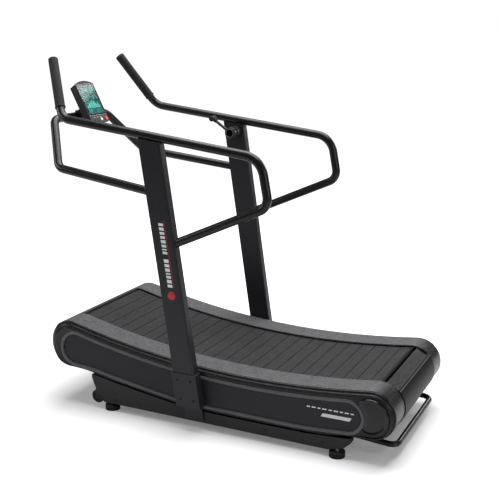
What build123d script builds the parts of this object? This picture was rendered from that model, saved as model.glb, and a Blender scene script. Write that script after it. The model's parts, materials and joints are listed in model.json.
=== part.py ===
from build123d import *
import math
import os

os.makedirs("parts", exist_ok=True)

# ---------------------------------------------------------------- driving dimensions (mm, degrees)
# Frame: X runs from the console end (-X) to the step-on end (+X), Y is across, Z is up from the floor.

# running surface: a concave arc seen from the side
ARC_X = 260.0
ARC_LOW_Z = 280.0
ARC_R = 3780.0
ARC_Z = ARC_LOW_Z + ARC_R
BELT_DROP = 6.0
DRUM_FRONT_X = -710.0
DRUM_REAR_X = 767.0
WRAP_R = 98.0

# slats and the two belts that carry them
SLAT_COUNT = 56
SLAT_WIDTH = 59.0
SLAT_LENGTH = 472.0
SLAT_HEIGHT = 14.0
TREAD_HEIGHT = 6.0
TREAD_GROOVE = (1.6, 0.7)
TREAD_GROOVE_STEP = 14.0
SLAT_SEAT = 0.12
CARRIER_LIP = 8.0
CARRIER_RIB = 10.0
CARRIER_HOLLOW = 4.0
BELT_THICK = 5.0
BELT_Y = (196.0, 228.0)
PITCH_R = WRAP_R - SLAT_HEIGHT
REAR_GAP_LEAD = 21.4

# side covers
COVER_R = 104.0
COVER_WALL = 4.0
FRONT_DROP = 15.0
COVER_INNER_Y = 239.0
COVER_OUTER_Y = 376.0
COVER_STEPS = ((362.0, 0.0, 0.0), (369.0, 8.0, 2.5), (376.0, 16.0, 5.0))
STRIP_THICK = 3.0
STRIP_Y = (241.0, 360.0)
STRIP_FOLD = (140.0, 48.0)
STRIP_SHARE = (89.0, 91.0)
PANEL_FRONT_X = -671.0
PANEL_REAR_X = 664.0
PANEL_INSET = (46.0, 26.0)
PANEL_THICK = 2.0
PANEL_RECESS = 5.0
COVER_OPENING_X = (-640.0, 700.0)
COVER_OPENING_Y = 358.0
COVER_OPENING_Z = 190.0
PANEL_GAP = 0.4
CAP_INSET = (19.0, 8.0)
CAP_THICK = 2.6
CAP_BORDER = 7.0
CAP_REACH = 64.0
UNDERSIDE_X = (-570.0, -433.0, -299.0, -150.0, 40.0, 250.0, 480.0, 610.0)
UNDERSIDE_Z = (168.0, 144.0, 123.5, 103.0, 91.5, 89.0, 88.0, 95.0)
HOOD_THICK = 3.0
HOOD_FRONT_ARC = (94.0, 256.0)
HOOD_REAR_ARC = (-76.0, 46.0)
HOOD_HALF = 237.5

# inner deck frame
PLATE_Y = (300.0, 306.0)
PLATE_INSET = 16.0
PLATE_LEG_DROP = 60.0
CROSS_X = (-515.0, 10.0, 580.0)
CROSS_SIZE = 60.0
CROSS_Z = 40.0
TUBE_WALL = 3.0
SHAFT_PASS = 4.0
RUNNER_THICK = 6.0
RUNNER_GAP = 0.5
RUNNER_LIP = 4.0
TRACK_HEIGHT = 26.0
TRACK_ARC = (-11.5, 4.6)
TIE_SIZE = (30.0, 22.0)
TIE_ANGLES = (-10.0, -5.5, -1.0, 3.5)
TIE_GAP = 0.1

# drums, shafts, bearings, resistance brake
SHAFT_R = 10.0
SHAFT_HALF = 322.0
FIT = 0.05
PULLEY_CLEARANCE = 0.5
PULLEY_FLANGE_R = 82.0
PULLEY_FLANGE = 3.0
PULLEY_RIM = 9.0
PULLEY_HUB_R = 26.0
PULLEY_DISH = 5.0
BEARING_R = 30.0
BEARING_DEPTH = 16.0
BEARING_NOSE_R = 22.0
BEARING_NOSE = 6.0
BRAKE_R = 72.0
BRAKE_Y = (262.0, 268.0)
BRAKE_HUB = (20.0, 10.0)
CARRIAGE_PIVOT = (-612.0, 232.0)
CARRIAGE_PLATES = ((255.0, 259.0), (271.0, 275.0))
CARRIAGE_FOOT = ((-12.0, -12.0), (12.0, -12.0))
CARRIAGE_HEAD = ((26.0, 40.0), (24.0, 100.0), (-14.0, 100.0), (-20.0, 42.0))
CARRIAGE_BRIDGE = (17.0, 66.0)
CARRIAGE_BRIDGE_SIZE = (8.0, 60.0)
CARRIAGE_PIN_R = 5.0
CARRIAGE_PIN_HEAD = (8.0, 4.5)
CARRIAGE_COLLAR = (9.0, 0.5)
MAGNET_X = -6.0
MAGNET_SIZE = (16.0, 14.0)
MAGNET_HEIGHTS = (48.0, 70.0, 92.0)
MAGNET_THICK = 1.5

# base
BEAM_Y = (337.0, 377.0)
BEAM_NOSE = ((-588.0, 150.0), (-569.0, 103.0), (-529.0, 97.0), (-526.0, 39.0))
BEAM_TAIL = ((584.0, 31.0), (655.0, 48.0), (686.0, 76.0))
COVER_GAP = 1.0
BEAM_CREST = 2.5
SLOT_X = (-325.0, -82.0)
SLOT_SIZE = (28.0, 22.0)
SLOT_Z = 68.0
SLOT_DEPTH = 1.2
FRONT_FOOT = (-497.0, 347.0)
REAR_FOOT = (622.0, 357.0)
FOOT_R = 34.0
FOOT_PAD = 24.0
FOOT_GROOVES = (8.0, 16.0)
FOOT_GROOVE = (2.5, 2.4)
STEM_R = 6.0
STEM_SEAT = 8.0
NUT_R = 11.0
NUT_HEIGHT = 6.0
STEM_TOP = 78.0
STEM_CLEARANCE = 0.6
STEM_HOLE = 30.0
WHEEL_X = -566.0
WHEEL_Y = 357.0
WHEEL_Z = 56.0
WHEEL_R = 32.0
WHEEL_HALF = 9.0
WHEEL_TREAD = 8.0
WHEEL_HUB = 6.0
WHEEL_DISH = 3.0
WHEEL_PIN_R = 5.0
WHEEL_PIN_HEAD = (8.0, 3.0)
CHEEK_HALF = 9.6
CHEEK_THICK = 4.0
CHEEK_OUTLINE = ((6.0, 52.0), (46.0, 44.0), (46.0, -9.0), (4.0, -11.0), (-11.0, 0.0), (-7.0, 42.0))
LIFT_R = 12.5
LIFT_WALL = 2.5
LIFT_BEND = 38.0
LIFT_HALF = 280.0
LIFT_X = 853.0
LIFT_Z = (80.0, 60.0)

# uprights and their sockets
UPRIGHT_Y = 399.0
UPRIGHT_DEPTH = 107.0
UPRIGHT_THICK = 40.0
UPRIGHT_X_AT_300 = -77.0
UPRIGHT_LEAN = -0.1475
UPRIGHT_FOOT_Z = 126.0
UPRIGHT_TOP_Z = 1280.0
UPRIGHT_TOP_DROP = 16.0
UPRIGHT_EDGE_R = 4.0
UPRIGHT_GROOVE = 3.0
UPRIGHT_GROOVE_DEPTH = 1.4
UPRIGHT_GROOVE_INSET = 9.0
UPRIGHT_GROOVE_TOP = 1270.0
SOCKET_Z = (116.0, 270.0)
SOCKET_TONGUE = (46.0, 90.0, 8.0)
SOCKET_WALL = 6.0
SOCKET_INNER_Y = 377.0
SOCKET_OUTER_Y = 423.0
SOCKET_CLEARANCE = 0.5
SOCKET_RIM = 1.0

# handrails
TUBE_R = 19.0
TUBE_THICK = 2.0
GRIP_R = 22.0
GRIP_TIP = (-800.0, 271.0, 1595.4)
GRIP_START = 58.0
GRIP_OVERHANG = 5.0
GRIP_EDGE = 2.5
RAIL_BEND = (-671.0, 398.0, 1351.0)
RAIL_TOP_REAR = (286.5, 399.0, 1233.0)
RAIL_LOW_REAR = (323.0, 399.0, 1037.5)
RAIL_LOW_END = (-180.0, 399.0, 815.0)
RAIL_RADII = (75.0, 95.0, 55.0)
FRONT_LOW_END = (-220.0, 399.0, 1059.0)
FRONT_LOW_CORNER = (-731.0, 360.0, 1124.0)
FRONT_TOP_CORNER = (-858.0, 209.0, 1323.0)
FRONT_RADII = (62.0, 62.0)

# console: its face leans back from upright, seen from the runner's side
FACE_X = -795.0
FACE_Z = 1393.0
FACE_TILT = 27.0
FACE_WIDTH = 146.0
FACE_BOTTOM = -113.0
FACE_SHOULDER = 90.0
FACE_ARCH = 106.0
FACE_CORNER = 16.0
BEZEL_THICK = 5.0
BEZEL_EDGE = 2.0
SHELL_DEPTH = 34.0
SHELL_WALL = 2.5
SHELL_TAPER = 9.0
LENS_SIZE = (136.0, 158.0)
LENS_V = 7.0
LENS_THICK = 1.6
LCD_SIZE = (118.0, 144.0)
LCD_THICK = 4.0
LCD_GAP = 0.3
KEY_R = 7.0
KEY_V = -96.0
KEY_U = (-37.0, -11.0, 15.0)
STOP_R = 11.0
STOP_U = 52.0
KEY_RISE = 2.0
KEY_GAP = 0.4
KEY_SKIRT = 1.6
KEY_SKIRT_THICK = 2.0
KEY_STEM = 3.0
KEY_EDGE = 1.2
STOP_RISE = 4.0
BRACKET_SIZE = (72.0, 44.0)
FLANGE_MARGIN = (18.0, 34.0)
FLANGE_THICK = 4.0
STRAP_THICK = 5.0
STRAP_INSET = 30.0
STRAP_EAR = 14.0

# resistance lever on the right upright
LEVER_X = -208.0
LEVER_Z = 1236.0
LEVER_HOUSING_R = 32.0
LEVER_HOUSING_Y = (337.0, 379.0)
LEVER_HOUSING_STEP = (3.0, 4.0)
LEVER_HUB_R = 28.0
LEVER_HUB_EDGE = 4.0
LEVER_HUB_Y = (313.0, 336.4)
LEVER_SHAFT_R = 8.0
LEVER_SHAFT_END = 366.0
LEVER_CAP_R = 16.6
LEVER_CAP_GAP = 0.4
LEVER_CAP_SEAT = 4.0
LEVER_CAP_SINK = 0.5
LEVER_ARM_R = 7.0
LEVER_ARM_Y = 322.0
LEVER_ANGLE = 145.0
LEVER_LENGTH = 116.0
LEVER_GRIP_R = 13.5
LEVER_GRIP_HALF = 24.0
LEVER_GRIP_EDGE = 8.0
LEVER_NECK = (3.0, 14.0, 22.0)


# ---------------------------------------------------------------- small helpers
def write(name, *solids):
    """Write one node: a single solid, or a group of separate solids."""
    shape = solids[0] if len(solids) == 1 else Compound(children=list(solids))
    export_step(shape, f"parts/{name}.step")


def opposite(shape):
    """The same piece on the other side of the machine."""
    return mirror(shape, about=Plane.XZ)


def both_sides(name, shape):
    """Write a piece drawn on the right (+Y) and its left twin as two nodes."""
    write(f"{name}_left", opposite(shape))
    write(f"{name}_right", shape)


def twin(name, *shapes):
    """Write pieces drawn on the right and their left twins as one node."""
    write(name, *shapes, *[opposite(shape) for shape in shapes])


def slab(sketch, y_from, y_to):
    """Extrude a sketch drawn in X-Z between two Y stations."""
    face = Plane.XZ.offset(-y_from) * sketch
    return extrude(face, amount=-(y_to - y_from))


def disc(x, z, radius, y_from, y_to):
    return slab(Pos(x, z) * Circle(radius), y_from, y_to)


def ring(x, z, outer, inner, y_from, y_to):
    return disc(x, z, outer, y_from, y_to) - disc(x, z, inner, y_from - 1, y_to + 1)


def outline(points):
    return make_face(Polyline(*points, close=True))


def polar(centre, radius, angle):
    turn = math.radians(angle)
    return (centre[0] + radius * math.cos(turn), centre[1] + radius * math.sin(turn))


def top_z(x, drop=0.0):
    """Height of the running arc at station x, lowered by drop."""
    return ARC_Z - math.sqrt((ARC_R + drop) ** 2 - (x - ARC_X) ** 2)


def drum_centre(x):
    """A drum sits where its wrapped belt touches the running arc."""
    return (x, ARC_Z - math.sqrt((ARC_R + BELT_DROP + WRAP_R) ** 2 - (x - ARC_X) ** 2))


def arc_angle(centre):
    """Angle from straight down at the arc centre to the point where the belt leaves the arc."""
    return math.degrees(math.atan2(centre[0] - ARC_X, ARC_Z - centre[1]))


FRONT = drum_centre(DRUM_FRONT_X)
REAR = drum_centre(DRUM_REAR_X)
FRONT_ARC = arc_angle(FRONT)
REAR_ARC = arc_angle(REAR)
RETURN_SLOPE = math.degrees(math.atan2(REAR[1] - FRONT[1], REAR[0] - FRONT[0]))


# ---------------------------------------------------------------- side profile of the deck
def underside_points(inset):
    """Points of the underside, raised by inset; the first and last lie under the drums."""
    ends = ((FRONT[0], FRONT[1] - COVER_R - FRONT_DROP), (REAR[0], REAR[1] - COVER_R))
    middle = list(zip(UNDERSIDE_X, UNDERSIDE_Z))
    return [(x, z + inset) for x, z in (ends[0], *middle, ends[1])]


def underside_z(x):
    """Height of the underside at station x, on straight pieces between its points."""
    points = underside_points(0)
    for (x0, z0), (x1, z1) in zip(points, points[1:]):
        if x0 <= x <= x1:
            return z0 + (z1 - z0) * (x - x0) / (x1 - x0)
    return points[-1][1]


def arc_edge(x_from, x_to, drop):
    x_mid = (x_from + x_to) / 2
    points = [(x, top_z(x, drop)) for x in (x_from, x_mid, x_to)]
    return ThreePointArc(*points)


def crease_x(centre, inset):
    """Station where the top arc runs into a round end."""
    return centre[0] + (COVER_R - inset) * (ARC_X - centre[0]) / (ARC_R + COVER_R)


def closed_band(top, bottom):
    """Face between an upper and a lower edge, both running from front to rear."""
    return make_face([top, Line(top @ 1, bottom @ 1), bottom, Line(bottom @ 0, top @ 0)])


def front_end(inset):
    """Tall round end: the drum circle and the same circle lowered."""
    radius = COVER_R - inset
    x, z = FRONT
    bar = Pos(x, z - FRONT_DROP / 2) * Rectangle(2 * radius, FRONT_DROP)
    return Pos(x, z) * Circle(radius) + Pos(x, z - FRONT_DROP) * Circle(radius) + bar


def side_profile(inset, low_inset=None):
    """Side outline of the deck, drawn in by inset (by low_inset along the underside)."""
    low = inset if low_inset is None else low_inset
    points = underside_points(low)
    points[0] = (points[0][0], points[0][1] - low + inset)
    points[-1] = (points[-1][0], points[-1][1] - low + inset)
    top = arc_edge(crease_x(FRONT, inset), crease_x(REAR, inset), inset)
    bottom = Spline(*points, tangents=[(1, 0), (1, 0)])
    return closed_band(top, bottom) + front_end(inset) + Pos(*REAR) * Circle(COVER_R - inset)


def panel_profile(grow):
    """Recessed panel outline, grown outwards: a bent band with two round ends."""
    upper, lower = PANEL_INSET
    ends = []
    for x in (PANEL_FRONT_X, PANEL_REAR_X):
        low = underside_z(x) + lower
        high = top_z(x, upper)
        ends.append(((x, (low + high) / 2), (high - low) / 2 + grow))
    (front, front_r), (rear, rear_r) = ends
    top = arc_edge(front[0], rear[0], upper - grow)
    middle = [(x, z + lower - grow) for x, z in zip(UNDERSIDE_X, UNDERSIDE_Z)]
    bottom = Spline((front[0], front[1] - front_r), *middle, (rear[0], rear[1] - rear_r))
    return closed_band(top, bottom) + Pos(*front) * Circle(front_r) + Pos(*rear) * Circle(rear_r)


# ---------------------------------------------------------------- belt path
def loop_face(drop):
    """Closed belt loop, lowered by drop from the slat tops."""
    radius = WRAP_R - drop
    top_front = polar(FRONT, radius, 90 + FRONT_ARC)
    top_rear = polar(REAR, radius, 90 + REAR_ARC)
    low_front = polar(FRONT, radius, RETURN_SLOPE - 90)
    low_rear = polar(REAR, radius, RETURN_SLOPE - 90)
    run = ThreePointArc(top_front, (ARC_X, ARC_LOW_Z - BELT_DROP - drop), top_rear)
    rear_wrap = ThreePointArc(top_rear, polar(REAR, radius, 0), low_rear)
    back = Line(low_rear, low_front)
    front_wrap = ThreePointArc(low_front, polar(FRONT, radius, 180), top_front)
    return make_face([run, rear_wrap, back, front_wrap])


def loop_stations():
    """Middle of every slat as (region, x, z, slope), travelling from the rear drum forward."""
    run_r = ARC_R + BELT_DROP + SLAT_HEIGHT
    run = run_r * math.radians(REAR_ARC - FRONT_ARC)
    wrap = PITCH_R * math.radians(180 + abs(FRONT_ARC) + RETURN_SLOPE)
    rear_wrap = PITCH_R * math.radians(180 + REAR_ARC - RETURN_SLOPE)
    back = math.hypot(REAR[0] - FRONT[0], REAR[1] - FRONT[1])
    total = run + wrap + back + rear_wrap
    pitch = total / SLAT_COUNT
    stations = []
    for index in range(SLAT_COUNT):
        s = ((index + 0.5) * pitch - REAR_GAP_LEAD) % total
        if s < run:
            angle = REAR_ARC - math.degrees(s / run_r)
            x, z = polar((ARC_X, ARC_Z), run_r - SLAT_SEAT, angle - 90)
            stations.append(("run", x, z, angle))
        elif s < run + wrap:
            angle = 90 + FRONT_ARC + math.degrees((s - run) / PITCH_R)
            x, z = polar(FRONT, PITCH_R + SLAT_SEAT, angle)
            stations.append(("front_turn", x, z, angle - 90))
        elif s < run + wrap + back:
            share = (s - run - wrap) / back
            foot_front = polar(FRONT, PITCH_R + SLAT_SEAT, RETURN_SLOPE - 90)
            foot_rear = polar(REAR, PITCH_R + SLAT_SEAT, RETURN_SLOPE - 90)
            x = foot_front[0] + share * (foot_rear[0] - foot_front[0])
            z = foot_front[1] + share * (foot_rear[1] - foot_front[1])
            stations.append(("return", x, z, RETURN_SLOPE + 180))
        else:
            turned = math.degrees((s - run - wrap - back) / PITCH_R)
            angle = RETURN_SLOPE - 90 + turned
            x, z = polar(REAR, PITCH_R + SLAT_SEAT, angle)
            stations.append(("rear_turn", x, z, angle - 90))
    return stations


def tread_bar():
    """Grooved rubber tread of one slat, its underside on the carrier."""
    half = SLAT_WIDTH / 2
    section = Pos(0, SLAT_HEIGHT - TREAD_HEIGHT / 2) * Rectangle(SLAT_WIDTH, TREAD_HEIGHT)
    bar = slab(section, -SLAT_LENGTH / 2, SLAT_LENGTH / 2)
    width, depth = TREAD_GROOVE
    count = int((half - width) // TREAD_GROOVE_STEP)
    for index in range(-count, count + 1):
        groove = Pos(index * TREAD_GROOVE_STEP, 0, SLAT_HEIGHT) * Box(width, SLAT_LENGTH + 2, 2 * depth)
        bar -= groove
    return bar


def carrier_bar():
    """Aluminium carrier of one slat: a flat bar with two hollows underneath."""
    height = SLAT_HEIGHT - TREAD_HEIGHT
    half = SLAT_WIDTH / 2 - 2
    lip = half - CARRIER_LIP
    rib = CARRIER_RIB / 2
    right = [(0, 0), (rib, 0), (rib, CARRIER_HOLLOW), (lip, CARRIER_HOLLOW), (lip, 0)]
    right += [(half, 0), (half, height)]
    left = [(-x, z) for x, z in reversed(right[1:])]
    return slab(outline(right + left), -SLAT_LENGTH / 2, SLAT_LENGTH / 2)


def along_loop(bar, regions):
    placed = [station for station in loop_stations() if station[0] in regions]
    return [Location((x, 0, z), (0, -slope, 0)) * bar for _, x, z, slope in placed]


def write_slats():
    tread = tread_bar()
    write("slat_treads_run", *along_loop(tread, ("run",)))
    write("slat_treads_return", *along_loop(tread, ("front_turn", "return", "rear_turn")))
    write("slat_carriers", *along_loop(carrier_bar(), ("run", "front_turn", "return", "rear_turn")))


def carrier_belt():
    loop = loop_face(SLAT_HEIGHT) - loop_face(SLAT_HEIGHT + BELT_THICK)
    return slab(loop, *BELT_Y)


# ---------------------------------------------------------------- side covers
def cover_shell():
    start = COVER_INNER_Y
    cavity_start = COVER_INNER_Y - 1
    outer = None
    cavity = None
    for end, inset, low in COVER_STEPS:
        layer = slab(side_profile(inset, low), start, end)
        outer = layer if outer is None else outer + layer
        start = end
    for end, inset, low in COVER_STEPS[:-1]:
        hollow = slab(side_profile(inset + COVER_WALL, low + COVER_WALL), cavity_start, end - COVER_WALL)
        cavity = hollow if cavity is None else cavity + hollow
        cavity_start = end - COVER_WALL
    recess = slab(panel_profile(0), COVER_OUTER_Y - PANEL_RECESS, COVER_OUTER_Y + 1)
    low_x, high_x = COVER_OPENING_X
    section = Pos((low_x + high_x) / 2, COVER_OPENING_Z / 2) * Rectangle(high_x - low_x, COVER_OPENING_Z)
    opening = slab(section, COVER_INNER_Y - 2, COVER_OPENING_Y)
    return outer - cavity - recess - opening


def sector(centre, start, end):
    """Large pie slice around a drum centre."""
    steps = 6
    angles = [start + (end - start) * step / steps for step in range(steps + 1)]
    return outline([centre, *[polar(centre, 3 * COVER_R, angle) for angle in angles]])


def landing_strip():
    """Anti-slip strip on the cover, folded down over both round ends."""
    skin = side_profile(-STRIP_THICK) - side_profile(0)
    above = FRONT[1] + 4 * COVER_R
    run = outline([FRONT, (FRONT[0], above), (REAR[0], above), REAR])
    front_fold = sector(FRONT, STRIP_SHARE[0], STRIP_FOLD[0])
    rear_fold = sector(REAR, STRIP_FOLD[1], STRIP_SHARE[1])
    keep = run + front_fold + rear_fold
    return slab(skin & keep, *STRIP_Y)


def side_panel():
    low = COVER_OUTER_Y - PANEL_RECESS
    return slab(panel_profile(-PANEL_GAP), low, low + PANEL_THICK)


def end_cap(centre, side):
    """Trim between the panel border and the round end of the cover."""
    x = centre[0] + side * CAP_REACH
    window = Pos(x, centre[1]) * Rectangle(2 * COVER_R, 4 * COVER_R)
    face = (side_profile(*CAP_INSET) & window) - panel_profile(CAP_BORDER)
    return slab(face, COVER_OUTER_Y, COVER_OUTER_Y + CAP_THICK)


def hood(centre, arc):
    """Rolled sheet over a drum, between the side covers."""
    skin = side_profile(-HOOD_THICK) - side_profile(0)
    return slab(skin & sector(centre, *arc), -HOOD_HALF, HOOD_HALF)


# ---------------------------------------------------------------- inner deck frame
def deck_plate():
    plate = slab(side_profile(PLATE_INSET), *PLATE_Y)
    floor = CROSS_Z + CROSS_SIZE
    for x in CROSS_X:
        leg = top_z(x, PLATE_LEG_DROP) - floor
        plate += slab(Pos(x, floor + leg / 2) * Rectangle(CROSS_SIZE, leg), *PLATE_Y)
    for centre in (FRONT, REAR):
        plate -= disc(*centre, SHAFT_R + SHAFT_PASS, PLATE_Y[0] - 1, PLATE_Y[1] + 1)
    return plate


def arc_band(drop_from, drop_to, y_from, y_to):
    """Piece of bent bar under the belt run."""
    centre = (ARC_X, ARC_Z)
    start, end = [angle - 90 for angle in TRACK_ARC]
    middle = (start + end) / 2
    near = ARC_R + drop_from
    far = ARC_R + drop_to
    edges = [ThreePointArc(*[polar(centre, near, a) for a in (start, middle, end)])]
    edges.append(Line(polar(centre, near, end), polar(centre, far, end)))
    edges.append(ThreePointArc(*[polar(centre, far, a) for a in (end, middle, start)]))
    edges.append(Line(polar(centre, far, start), polar(centre, near, start)))
    return slab(make_face(edges), y_from, y_to)


RUNNER_TOP = BELT_DROP + SLAT_HEIGHT + BELT_THICK + RUNNER_GAP
TRACK_TOP = RUNNER_TOP + RUNNER_THICK
TRACK_LOW = TRACK_TOP + TRACK_HEIGHT


def glide_runner():
    return arc_band(RUNNER_TOP, TRACK_TOP, BELT_Y[0] - RUNNER_LIP, BELT_Y[1] + RUNNER_LIP)


def track_rail():
    return arc_band(TRACK_TOP, TRACK_LOW, BELT_Y[0], BELT_Y[1])


def deck_ties():
    width, height = TIE_SIZE
    span = 2 * PLATE_Y[0]
    bar = Box(width, span, height) - Box(width - 2 * TUBE_WALL, span + 2, height - 2 * TUBE_WALL)
    ties = []
    for angle in TIE_ANGLES:
        x, z = polar((ARC_X, ARC_Z), ARC_R + TRACK_LOW + TIE_GAP + height / 2, angle - 90)
        ties.append(Location((x, 0, z), (0, -angle, 0)) * bar)
    return ties


def cross_member(x):
    size = CROSS_SIZE
    outer = Box(size, 2 * BEAM_Y[0], size)
    inner = Box(size - 2 * TUBE_WALL, 2 * BEAM_Y[0] + 2, size - 2 * TUBE_WALL)
    return Pos(x, 0, CROSS_Z + size / 2) * (outer - inner)


# ---------------------------------------------------------------- drums and brake
def shaft(centre):
    return disc(*centre, SHAFT_R, -SHAFT_HALF, SHAFT_HALF)


def pulley(centre):
    radius = PITCH_R - BELT_THICK - PULLEY_CLEARANCE
    low = BELT_Y[0] - 1
    high = BELT_Y[1] + 1
    wheel = disc(*centre, radius, low, high)
    wheel += disc(*centre, PULLEY_FLANGE_R, low - PULLEY_FLANGE, low)
    wheel += disc(*centre, PULLEY_FLANGE_R, high, high + PULLEY_FLANGE)
    reach = 2 * PULLEY_DISH
    wheel -= ring(*centre, radius - PULLEY_RIM, PULLEY_HUB_R, low - PULLEY_DISH, low + reach)
    wheel -= ring(*centre, radius - PULLEY_RIM, PULLEY_HUB_R, high - reach, high + PULLEY_DISH)
    return wheel - disc(*centre, SHAFT_R, low - PULLEY_DISH, high + PULLEY_DISH)


def bearing_unit(centre):
    low = PLATE_Y[1]
    high = low + BEARING_DEPTH
    body = disc(*centre, BEARING_R, low, high - BEARING_NOSE) + disc(*centre, BEARING_NOSE_R, low, high)
    return body - disc(*centre, SHAFT_R + FIT, low - 1, high + 1)


def brake_disc():
    low, high = BRAKE_Y
    hub_r, hub = BRAKE_HUB
    body = disc(*FRONT, BRAKE_R, low, high) + disc(*FRONT, hub_r, low - hub, low)
    return body - disc(*FRONT, SHAFT_R, low - hub - 1, high + 1)


def magnet_carriage():
    """Two cheeks astride the brake disc, joined by a bridge."""
    x, z = CARRIAGE_PIVOT
    face = outline([(x + dx, z + dz) for dx, dz in CARRIAGE_FOOT + CARRIAGE_HEAD])
    near, far = CARRIAGE_PLATES
    bridge_x, bridge_z = CARRIAGE_BRIDGE
    bridge = Pos(x + bridge_x, z + bridge_z) * Rectangle(*CARRIAGE_BRIDGE_SIZE)
    body = slab(face, *near) + slab(face, *far) + slab(bridge, near[1], far[0])
    return body - disc(x, z, CARRIAGE_PIN_R + FIT, near[0] - 1, far[1] + 1)


def carriage_magnets():
    x, z = CARRIAGE_PIVOT
    near, far = CARRIAGE_PLATES
    blocks = []
    for height in MAGNET_HEIGHTS:
        face = Pos(x + MAGNET_X, z + height) * Rectangle(*MAGNET_SIZE)
        blocks.append(slab(face, near[1], near[1] + MAGNET_THICK))
        blocks.append(slab(face, far[0] - MAGNET_THICK, far[0]))
    return blocks


def carriage_pin():
    """Headed pin under the inner cheek, with a collar between the outer cheek and the deck plate."""
    low = CARRIAGE_PLATES[0][0]
    high = CARRIAGE_PLATES[1][1]
    head_r, head = CARRIAGE_PIN_HEAD
    collar_r, gap = CARRIAGE_COLLAR
    pin = disc(*CARRIAGE_PIVOT, CARRIAGE_PIN_R, low - gap - head, PLATE_Y[0])
    pin += disc(*CARRIAGE_PIVOT, head_r, low - gap - head, low - gap)
    return pin + disc(*CARRIAGE_PIVOT, collar_r, high + gap, PLATE_Y[0])


# ---------------------------------------------------------------- base
def beam_face():
    """Side view of the base beam, its top edge just under the cover."""
    front = BEAM_NOSE[0][0]
    rear = BEAM_TAIL[-1][0]
    crest = [(x, z - COVER_GAP - BEAM_CREST) for x, z in underside_points(0) if front < x < rear]
    front_top = (front, underside_z(front) - COVER_GAP - BEAM_CREST)
    rear_top = (rear, underside_z(rear) - COVER_GAP - BEAM_CREST)
    return outline([front_top, *BEAM_NOSE, *BEAM_TAIL, rear_top, *reversed(crest)])


def stem_hole(x, y):
    return Pos(x, y, BEAM_NOSE[-1][1]) * Cylinder(STEM_R + STEM_CLEARANCE, STEM_HOLE)


def base_beam():
    face = beam_face()
    core = offset(face, amount=-TUBE_WALL, kind=Kind.INTERSECTION)
    beam = slab(face, *BEAM_Y) - slab(core, BEAM_Y[0] + TUBE_WALL, BEAM_Y[1] - TUBE_WALL)
    for x in SLOT_X:
        beam -= Pos(x, BEAM_Y[1], SLOT_Z) * Box(SLOT_SIZE[0], 2 * SLOT_DEPTH, SLOT_SIZE[1])
    return beam - stem_hole(*FRONT_FOOT) - stem_hole(*REAR_FOOT)


def foot_pad(x, y):
    depth, width = FOOT_GROOVE
    band = Cylinder(FOOT_R + 1, width) - Cylinder(FOOT_R - depth, width + 1)
    pad = Pos(x, y, FOOT_PAD / 2) * Cylinder(FOOT_R, FOOT_PAD)
    for height in FOOT_GROOVES:
        pad -= Pos(x, y, height) * band
    return pad - Pos(x, y, FOOT_PAD) * Cylinder(STEM_R, 2 * STEM_SEAT)


def foot_stem(x, y):
    low = FOOT_PAD - STEM_SEAT
    stem = Pos(x, y, (low + STEM_TOP) / 2) * Cylinder(STEM_R, STEM_TOP - low)
    return stem + Pos(x, y, FOOT_PAD) * extrude(RegularPolygon(NUT_R, 6), amount=NUT_HEIGHT)


def transport_wheel():
    low = WHEEL_Y - WHEEL_HALF
    high = WHEEL_Y + WHEEL_HALF
    tyre = ring(WHEEL_X, WHEEL_Z, WHEEL_R, WHEEL_PIN_R + FIT, low, high)
    dish_radii = (WHEEL_R - WHEEL_TREAD, WHEEL_PIN_R + WHEEL_HUB)
    tyre -= ring(WHEEL_X, WHEEL_Z, *dish_radii, low - 1, low + WHEEL_DISH)
    return tyre - ring(WHEEL_X, WHEEL_Z, *dish_radii, high - WHEEL_DISH, high + 1)


def cheek_face():
    """Side view of a wheel cheek, reaching into the beam before it is cut back."""
    return outline([(WHEEL_X + x, WHEEL_Z + z) for x, z in CHEEK_OUTLINE])


def wheel_bracket():
    """Two cheeks welded to the nose of the beam."""
    face = cheek_face()
    cheeks = []
    for low in (WHEEL_Y - CHEEK_HALF - CHEEK_THICK, WHEEL_Y + CHEEK_HALF):
        high = low + CHEEK_THICK
        cheek = slab(face, low, high) - disc(WHEEL_X, WHEEL_Z, WHEEL_PIN_R, low - 1, high + 1)
        cheeks.append(cheek - slab(beam_face(), low - 1, high + 1))
    return cheeks


def wheel_pin():
    head_r, head = WHEEL_PIN_HEAD
    low = WHEEL_Y - CHEEK_HALF - CHEEK_THICK
    high = WHEEL_Y + CHEEK_HALF + CHEEK_THICK
    pin = disc(WHEEL_X, WHEEL_Z, WHEEL_PIN_R, low, high)
    pin += disc(WHEEL_X, WHEEL_Z, head_r, high, high + head)
    return pin + disc(WHEEL_X, WHEEL_Z, head_r, low - head, low)


# ---------------------------------------------------------------- tubes
def rounded_path(points, radii):
    """Straight runs joined by tangent bends."""
    vectors = [Vector(*point) for point in points]
    edges = []
    last = vectors[0]
    for before, corner, after, radius in zip(vectors, vectors[1:], vectors[2:], radii):
        back = (before - corner).normalized()
        ahead = (after - corner).normalized()
        half = math.radians(back.get_angle(ahead)) / 2
        reach = radius / math.tan(half)
        middle = (back + ahead).normalized()
        centre = corner + middle * (radius / math.sin(half))
        entry = corner + back * reach
        leave = corner + ahead * reach
        edges.append(Line(last, entry))
        edges.append(ThreePointArc(entry, centre - middle * radius, leave))
        last = leave
    edges.append(Line(last, vectors[-1]))
    return Wire([edge for line in edges for edge in line.edges()])


def swept_tube(points, radii, outer, inner):
    path = rounded_path(points, radii)
    start = Plane(origin=path @ 0, z_dir=path % 0)
    section = Circle(outer) - Circle(inner) if inner else Circle(outer)
    return sweep(start * section, path=path)


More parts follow.
